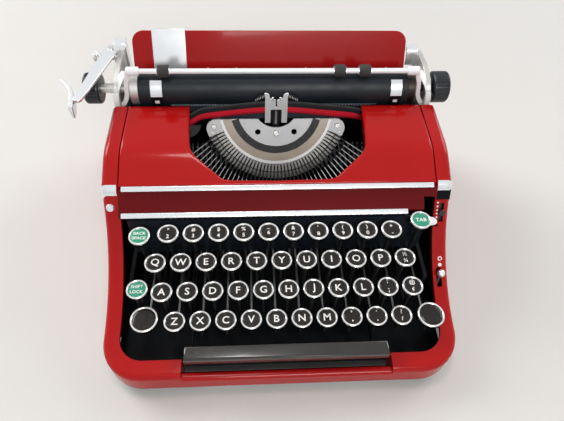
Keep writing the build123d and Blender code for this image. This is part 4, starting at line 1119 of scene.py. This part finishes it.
# Paper table and side guide
# A red-enamelled sheet with rounded corners stands behind the platen and takes the paper; its name
# place is bare. A folded nickel-plated guide slides along its top edge, and white marks show its foot.
dress("paper_table_enamelled", "paper_table", red_enamel, "carriage", "red_enamel", 0.7, 4)
table_frame = at(0.0, 104.0, 108.0) @ Matrix.Rotation(math.radians(60.0), 4, "X")
mark_size = (0.8, 2.4, 0.12)
marks = []
for x in (-59.1, -34.0, 27.9, 100.6):
    marks.append(tick_row(1, (0, 0, 0), mark_size, table_frame @ at(x, 12.0, 0.03)))
settle(gather("paper_table_marks", marks), "carriage", "red_enamel")
dress("paper_guide_folded", "paper_guide", pale_nickel, "side_guide", "bright_chrome", 0.4, 3)

# Carriage release levers
# Two stamped levers on one rod lift the carriage's catch; their tops are folded into finger tabs.
# Levers and tabs are nickel-plated steel with rounded edges.
right_fold = [(115.9, 133.6), (114.9, 132.4), (114.3, 130.0), (113.4, 125.0), (112.6, 120.4)]
left_fold = [(115.9, 139.6), (114.9, 138.4), (114.5, 136.6), (114.2, 134.6)]
tab_width, tab_thickness = 10.0, 1.4
bm = cad_copy("carriage_release")
for x, fold in ((122.4, right_fold), (-132.8, left_fold)):
    strip_along(bm, in_mm((x, y, z) for y, z in fold), tab_width, tab_thickness)
release = make_piece("carriage_release_plated", bm, [pale_nickel])
soften_edges(release, 0.4, 3)
settle(release, "release", "bright_chrome", "carriage_release")

# Line-space and return lever
# A long plated strip, pivoted on the left ledge, ends in a curved finger paddle.
# It is cut and bent from one piece of steel and polished.
lever_low, lever_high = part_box("return_lever")
lever_thickness = 2.5 * mm
lever_pivot = Vector((-141.7, 119.0)) * mm
lever_tip = Vector((-157.9, 54.2)) * mm
lever_run = (lever_tip - lever_pivot).normalized()
lever_side = Vector((-lever_run.y, lever_run.x))
half_widths = [(-5.2, 2.5), (-4.2, 4.6), (-1.5, 6.0), (6.0, 5.9)]
half_widths += [(30.0, 5.0), (55.0, 4.0), (66.8, 3.5), (69.5, 2.2)]
outline = []
for edge, stations in ((1, half_widths), (-1, half_widths[::-1])):
    for reach, half in stations:
        outline.append(lever_pivot + (lever_run * reach + lever_side * edge * half) * mm)
bm = bmesh.new()
slab(bm, outline, Matrix.Translation((0, 0, lever_high.z - lever_thickness)), lever_thickness)
paddle = smooth_line(in_mm([(-175.6, 79.0), (-170.2, 73.2), (-165.4, 66.0), (-162.8, 56.0), (-162.0, 45.6)]))
brow, foot = 1.7 * mm, 0.6 * mm
shallow, deeper = 4.0 * mm, 10.4 * mm
end_drop = 2.2 * mm
clear = 0.1 * mm
rings = []
for n, spot in enumerate(paddle):
    share = n / (len(paddle) - 1)
    ahead = paddle[min(n + 1, len(paddle) - 1)] - paddle[max(n - 1, 0)]
    side = Vector((-ahead.y, ahead.x)).normalized()
    round_off = end_drop * max(0.0, 1 - min(share, 1 - share) / 0.12) ** 2
    deep = shallow + deeper * min(1.0, share / 0.55)
    top = lever_high.z - round_off - clear
    low = max(lever_low.z + clear, lever_high.z - deep) + round_off
    corners = ((-foot, low), (foot, low), (brow, top), (-brow, top))
    rings.append([bm.verts.new((spot.x + x * side.x, spot.y + x * side.y, z)) for x, z in corners])
join_rings(bm, rings)
lever = make_piece("return_lever_polished", bm, [pale_nickel])
soften_edges(lever, 0.5, 3, 50.0)
settle(lever, "line_lever", "bright_chrome", "return_lever")

# Mainspring drum
# A spun steel drum at the back holds the spring that pulls the carriage along.
# It is plain satin steel with rounded edges, and turns as the carriage slides.
dress("mainspring_drum_spun", "mainspring_drum", satin_steel, "drum", "satin_steel", 1.0, 3)

# Side controls
# The ribbon colour lever has a turned white-metal ball, and the touch control a small knob in a slot.
# Both stand out of the right side frame, within the typist's reach.
dress("colour_selector_turned", "colour_selector", pale_nickel, "selector", "bright_chrome", sharp=40.0)
dress("touch_lever_turned", "touch_lever", rest_black, "touch", "black_enamel", 0.4)

# Space bar
# A long moulded bar, glossy black-brown with rounded edges, on two black-enamelled arms.
# The arms turn on the fulcrum rod like the key levers.
bar_gloss = new_finish(
    "bar_gloss", (0.0165, 0.0120, 0.0085), (0.0095, 0.0070, 0.0050),
    50.0, (0.14, 0.26, 80.0), (900.0, 0.015), Coat_Weight=0.6, Coat_Roughness=0.08,
)
bar_depth = 8.2 * mm
arm_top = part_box("space_bar")[1].z - bar_depth
bm = cad_copy("space_bar")
for face in bm.faces:
    face.material_index = 0 if face.calc_center_median().z > arm_top else 1
space = make_piece("space_bar_moulded", bm, [bar_gloss, black_enamel])
settle(space, "space", "black_bar", "space_bar")

# Keys
# Each key is a nickel-plated cup with a rolled rim that holds a printed disc under clear celluloid.
# The cup is riveted to a flat steel lever, which turns on the fulcrum rod at the back.
key_radius = 8.0 * mm
key_height = 3.6 * mm
key_rim = 1.5 * mm
disc_sink, disc_dome = 0.62, 0.3
letter_height = 5.9 * mm
capital_share = 0.729
key_metal = new_finish(
    "key_metal", (0.92, 0.92, 0.90), (0.84, 0.84, 0.82),
    120.0, (0.12, 0.24, 220.0), (1800.0, 0.002), Metallic=0.6,
)
# The levers' steel is drawn darker than the steel elsewhere: partly their own dull finish, partly painted
# shade of the space under the keys.
lever_steel = new_finish(
    "lever_steel", (0.20, 0.20, 0.20), (0.12, 0.12, 0.12),
    80.0, (0.35, 0.5, 160.0), (1800.0, 0.015), Metallic=1.0,
)
disc_black = new_finish(
    "disc_black", (0.0165, 0.0125, 0.0102), (0.0105, 0.0080, 0.0066),
    90.0, (0.2, 0.34, 160.0), (800.0, 0.006), Specular_IOR_Level=0.2, Coat_Weight=0.25, Coat_Roughness=0.04,
)

key_tree, given, result = growing_tree(
    "key_top", Radius=0.008, Rim=0.0015, Height=0.0036, Metal="Material", Disc="Material"
)


def of_key(operation, socket, number):
    """One of the key's sizes with a number or another size worked in."""
    return worked_out(key_tree, operation, given[socket], number)


half_rim = of_key("MULTIPLY", "Rim", 0.5)
rim_radius = of_key("SUBTRACT", "Radius", half_rim)
rim_path = add(key_tree, "GeometryNodeCurvePrimitiveCircle", "Curve", Resolution=40, Radius=rim_radius)
wire = add(key_tree, "GeometryNodeCurvePrimitiveCircle", "Curve", Resolution=10, Radius=half_rim)
rim = add(key_tree, "GeometryNodeCurveToMesh", "Mesh", Curve=rim_path, Profile_Curve=wire)
cup_sizes = {
    "Radius_Bottom": of_key("MULTIPLY", "Radius", 0.88),
    "Radius_Top": of_key("MULTIPLY", "Radius", 0.985),
    "Depth": of_key("SUBTRACT", "Height", given["Rim"]),
}
cup = add(key_tree, "GeometryNodeMeshCone", "Mesh", Vertices=40, **cup_sizes)
disc_sizes = {
    "Radius_Bottom": of_key("SUBTRACT", "Radius", given["Rim"]),
    "Radius_Top": of_key("MULTIPLY", "Radius", 0.7),
    "Depth": of_key("MULTIPLY", "Rim", disc_dome),
}
disc = add(key_tree, "GeometryNodeMeshCone", "Mesh", Vertices=40, **disc_sizes)
joined = key_tree.nodes.new("GeometryNodeJoinGeometry")
for shape, lift, finish in (
    (rim, of_key("MULTIPLY", "Rim", -0.5), "Metal"),
    (cup, of_key("MULTIPLY", "Height", -1.0), "Metal"),
    (disc, of_key("MULTIPLY", "Rim", -disc_sink), "Disc"),
):
    part = painted(key_tree, raised(key_tree, shape, lift), given[finish])
    key_tree.links.new(part, joined.inputs["Geometry"])
whole = add(key_tree, "GeometryNodeRealizeInstances", "Geometry", Geometry=joined.outputs["Geometry"])
key_tree.links.new(whole, result["Geometry"])


def key_top(radius, place, disc):
    """A finished key top with the middle of its rim's top at a place."""
    sizes = {"Radius": radius, "Rim": key_rim, "Height": key_height}
    return grow(key_tree, Matrix.Translation(place), Metal=key_metal, Disc=disc, **sizes)


def printed(words, height, place):
    """A printed legend of one or two lines, as a thin mesh centred on a place."""
    lettering = bpy.data.curves.new("legend", "FONT")
    lettering.body = words
    lettering.size = height / capital_share
    lettering.align_x = "CENTER"
    lettering.align_y = "CENTER"
    lettering.space_line = 1.2
    lettering.resolution_u = 3
    lettering.extrude = 0.02 * mm
    lettering.offset = 0.020 * height
    holder = placed("legend", lettering)
    bm = bmesh.new()
    bm.from_mesh(shown_mesh(holder))
    bpy.data.objects.remove(holder)
    bmesh.ops.remove_doubles(bm, verts=bm.verts[:], dist=0.0001 * mm)
    middle = Vector((0, 0, 0))
    for axis in range(2):
        reach = [vertex.co[axis] for vertex in bm.verts]
        middle[axis] = (min(reach) + max(reach)) / 2
    mesh = plain_mesh(bm, white_paint)
    mesh.transform(Matrix.Translation(place - middle))
    return mesh


def cut_off(bm, geometry, height):
    """Cuts away what lies above a height."""
    spot, up = (0, 0, height), (0, 0, 1)
    bmesh.ops.bisect_plane(bm, geom=geometry, plane_co=spot, plane_no=up, clear_outer=True)


def closed_levers(bm):
    """Key levers that were cut off under their cups, with the cuts closed."""
    bmesh.ops.holes_fill(bm, edges=[edge for edge in bm.edges if edge.is_boundary])
    return plain_mesh(bm, lever_steel)


def solids_of(bm):
    """The separate solids of a bmesh, each as a set of its vertices."""
    left = set(bm.verts)
    found = []
    while left:
        edge = [left.pop()]
        solid = set(edge)
        while edge:
            for link in edge.pop().link_edges:
                fresh = set(link.verts) - solid
                solid |= fresh
                edge += fresh
        left -= solid
        found.append(solid)
    return found


def face_outwards(piece):
    """Turns over the solids of a piece that face inwards, as the slivers at a cut can leave them."""
    bm = bmesh.new()
    bm.from_mesh(piece.data)
    for solid in solids_of(bm):
        faces = list({face for vertex in solid for face in vertex.link_faces})
        volume = sum(face.calc_center_median().dot(face.normal) * face.calc_area() for face in faces)
        if volume < 0:
            bmesh.ops.reverse_faces(bm, faces=faces)
    bm.to_mesh(piece.data)
    bm.free()


def finish_key(node, body, tops, levers=None):
    """Builds key tops and legends over their levers and rides them on their body.

    A top is its place, radius, disc, words and their height.
    """
    if levers is None:
        bm = cad_copy(node)
        cut_off(bm, bm.verts[:] + bm.edges[:] + bm.faces[:], tops[0][0].z - key_height)
        levers = closed_levers(bm)
    meshes = [levers]
    legend_drop = Vector((0, 0, key_rim * (disc_sink - disc_dome)))
    for place, radius, disc, words, height in tops:
        meshes.append(key_top(radius, place, disc))
        if words:
            meshes.append(printed(words, height, place - legend_drop))
    key = gather(node + "_topped", meshes)
    face_outwards(key)
    settle(key, body, "key_metal", node)


def top_place(node):
    """The middle of a key's top, from the box of its node."""
    low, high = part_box(node)
    return Vector(((low.x + high.x) / 2, low.y + key_radius, high.z))


for letter in "abcdefghijklmnopqrstuvwxyz":
    node = "key_" + letter
    tops = [(top_place(node), key_radius, disc_black, letter.upper(), letter_height)]
    finish_key(node, "letter_" + letter, tops)

# Figure and sign keys
# Ten keys of the top row and six sign keys beside the letters, made like the letter keys.
# Their discs carry two marks each, the shifted one above.
number_row = ['"\n2', "#\n3", "$\n4", "%\n5", "_\n6", "&\n7", "'\n8", "(\n9", ")\n0", "*\n-"]
sign_rows = [number_row, ["½\n¼"], [":\n;", "@\n¢"], [",\n,", ".\n.", "?\n/"]]
sign_height = 3.4 * mm
small_marks, small_mark_height = ".,:", 4.6 * mm
bm = cad_copy("figure_keys")
places = []
for solid in solids_of(bm):
    spots = [vertex.co for vertex in solid]
    left, right = min(spot.x for spot in spots), max(spot.x for spot in spots)
    front, top = min(spot.y for spot in spots), max(spot.z for spot in spots)
    places.append(Vector(((left + right) / 2, front + key_radius, top)))
    geometry = list(solid)
    geometry += [edge for edge in bm.edges if edge.verts[0] in solid]
    geometry += [face for face in bm.faces if face.verts[0] in solid]
    cut_off(bm, geometry, top - key_height)
places.sort(key=lambda place: (-round(place.z / mm), place.x))
tops = []
for place, words in zip(places, sum(sign_rows, [])):
    height = small_mark_height if words[0] in small_marks else sign_height
    tops.append((place, key_radius, disc_black, words, height))
finish_key("figure_keys", "figures", tops, closed_levers(bm))

# Function keys
# Shift keys are larger and blank; shift lock, back space and tabulator have green discs with words.
# The tabulator also has a bright tongue beside its cup for the finger.
disc_green = new_finish(
    "disc_green", (0.012, 0.30, 0.170), (0.009, 0.24, 0.135),
    90.0, (0.2, 0.34, 160.0), (800.0, 0.01), Coat_Weight=0.5, Coat_Roughness=0.04,
)
shift_radius = 10.25 * mm
shift_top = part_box("shift_keys")[1].z
shift_places = [Vector((*spot, shift_top)) for spot in in_mm([(-103.5, -96.4), (113.2, -99.0)])]
finish_key("shift_keys", "shift", [(place, shift_radius, disc_black, "", 0.0) for place in shift_places])
word_height = 2.6 * mm
green_keys = [("shift_lock", "lock", "SHIFT\nLOCK"), ("backspace_key", "backspace", "BACK\nSPACE")]
for node, body, words in green_keys:
    finish_key(node, body, [(top_place(node), key_radius, disc_green, words, word_height)])
tab_low, tab_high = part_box("tab_key")
tab_place = Vector((tab_low.x + key_radius, tab_low.y + key_radius, tab_high.z))
finish_key("tab_key", "tabulator", [(tab_place, key_radius, disc_green, "TAB", sign_height)])
tongue_half = 3.9 * mm
tongue_round = tab_high.x - tongue_half
tongue_root = tab_place.x + 2.0 * mm
tongue = [(tongue_root, tab_place.y + tongue_half), (tongue_root, tab_place.y - tongue_half)]
tongue += arc_points(tongue_round, tab_place.y, tongue_half, -90, 90, 12)
bm = bmesh.new()
slab(bm, tongue, Matrix.Translation((0, 0, tab_high.z - key_height)), 1.5 * mm)
tongue_piece = make_piece("tab_key_tongue", bm, [key_metal])
soften_edges(tongue_piece, 0.4)
settle(tongue_piece, "tabulator", "key_metal")

# Frame screw and control marks
# A bright screw holds the left side frame. On the right one, white dots show the touch control's
# settings and a ring and a dot the ribbon colours; the label place is a bare black plate.
sweep_front = Vector((-118.0, 29.0)) * mm
sweep_rear = Vector((-12.0, 97.0)) * mm
sweep_rise = sweep_rear - sweep_front
sweep_slope = 2 * math.atan2(sweep_rise.y, sweep_rise.x)
sweep_radius = sweep_rise.x / math.sin(sweep_slope)


def on_frame(x, y):
    """A matrix on the side frame's swept top, its third direction square to the enamel."""
    along = y * mm - sweep_front.x
    drop = math.sqrt(sweep_radius**2 - along**2)
    place = Matrix.Translation((x * mm, y * mm, sweep_front.y + sweep_radius - drop))
    return place @ Matrix.Rotation(math.atan2(along, drop), 4, "X")


def disc_mark(place, outer, inner=0.0):
    """A flat painted disc or ring, in millimetres."""
    thick = 0.04
    profile = [(inner, -thick), (outer, -thick), (outer, thick), (inner, thick)]
    if inner:
        profile.append(profile[0])
    bm = bmesh.new()
    turn(bm, in_mm(profile), (0, 0, 0), "Z", 20)
    mesh = plain_mesh(bm, white_paint)
    mesh.transform(place)
    return mesh


marks = [disc_mark(on_frame(127.6, -18.4 - 1.75 * n), 0.75) for n in range(5)]
marks.append(disc_mark(on_frame(131.4, -50.2), 1.9, 1.1))
marks.append(disc_mark(on_frame(131.2, -54.3), 1.5))
bm = bmesh.new()
slab(bm, oblong(-5.4, -4.6, 5.4, 4.0), on_frame(131.3, -14.8), 0.35 * mm)
marks.append(plain_mesh(bm, black_enamel))
marks.append(screw(3.4, 1.5, on_frame(-132.0, -18.3), pale_nickel, 40.0))
settle(gather("frame_screw_and_marks", marks), "machine", "bright_chrome")

# Studio
# A plain pale floor in an even pale room, darker towards the front.
# A large soft light stands high at the left, weaker ones at the right and in front, a small one above.
floor_paint = new_finish(
    "floor_paint", (0.70, 0.69, 0.67), (0.67, 0.66, 0.64), 3.0, (0.6, 0.75, 20.0), (300.0, 0.02)
)
reach = 8.0
corners = ((-reach, -reach, 0), (reach, -reach, 0), (reach, reach, 0), (-reach, reach, 0))
bm = bmesh.new()
bm.faces.new([bm.verts.new(spot) for spot in corners])
make_piece("floor", bm, [floor_paint])
world = bpy.data.worlds.new("studio")
bpy.context.scene.world = world
world.use_nodes = True
room = world.node_tree
backdrop = room.nodes["Background"].inputs
backdrop["Color"].default_value = (0.95, 0.97, 1.0, 1.0)
direction = add(room, "ShaderNodeTexCoord", "Generated")
rearwards = add(room, "ShaderNodeSeparateXYZ", "Y", Vector=direction)
light = add(room, "ShaderNodeMapRange", "Result", Value=rearwards, From_Min=-1.0, To_Min=0.14, To_Max=0.40)
rays = room.nodes.new("ShaderNodeLightPath").outputs
seen = worked_out(room, "MAXIMUM", rays["Is Camera Ray"], rays["Is Glossy Ray"])
seen = worked_out(room, "MAXIMUM", seen, rays["Is Transmission Ray"])
level = add(room, "ShaderNodeMix", "Result", Factor=seen, A=light, B=0.76)
room.links.new(level, backdrop["Strength"])
lamp_colour = (1.0, 0.98, 0.96)


def softbox(name, place, aim, size, power):
    """A square area lamp aimed at a height over the middle of the floor."""
    lamp = bpy.data.lights.new(name, "AREA")
    lamp.size = size
    lamp.energy = power
    lamp.color = lamp_colour
    stand = placed(name, lamp)
    stand.location = place
    stand.rotation_euler = (Vector((0, 0, aim)) - Vector(place)).to_track_quat("-Z", "Y").to_euler()


softbox("window_light", (-1.7, 1.2, 1.5), 0.05, 1.2, 38.0)
softbox("side_light", (1.8, 1.1, 1.3), 0.05, 1.2, 20.0)
softbox("ceiling_light", (-0.15, 0.2, 1.7), 0.05, 0.35, 4.5)
softbox("front_fill", (0.2, -1.5, 1.4), 0.08, 0.8, 20.0)

# Camera
# Solved from the key grid: where it stood, how it was turned and tilted, and its focal length.
picture_width = 564
focal_pixels = 500.0
sensor = 36.0
camera_place = Vector((-19.2, -259.8, 398.4)) * mm
camera_down = math.radians(52.9)
camera_turn = math.radians(5.02)
camera_roll = math.radians(3.01)
level_ahead = Vector((math.sin(camera_turn), math.cos(camera_turn), 0.0))
ahead = level_ahead * math.cos(camera_down) - Vector((0.0, 0.0, math.sin(camera_down)))
right = Vector((math.cos(camera_turn), -math.sin(camera_turn), 0.0))
up = right.cross(ahead)
rolled_right = right * math.cos(camera_roll) + up * math.sin(camera_roll)
rolled_up = up * math.cos(camera_roll) - right * math.sin(camera_roll)
lens = bpy.data.cameras.new("camera")
lens.sensor_width = sensor
lens.lens = focal_pixels / picture_width * sensor
lens.clip_start = 0.01
camera = placed("camera", lens)
turned = Matrix((rolled_right, rolled_up, -ahead)).transposed()
camera.matrix_world = Matrix.Translation(camera_place) @ turned.to_4x4()
bpy.context.scene.camera = camera
bpy.context.scene.view_settings.view_transform = "Standard"
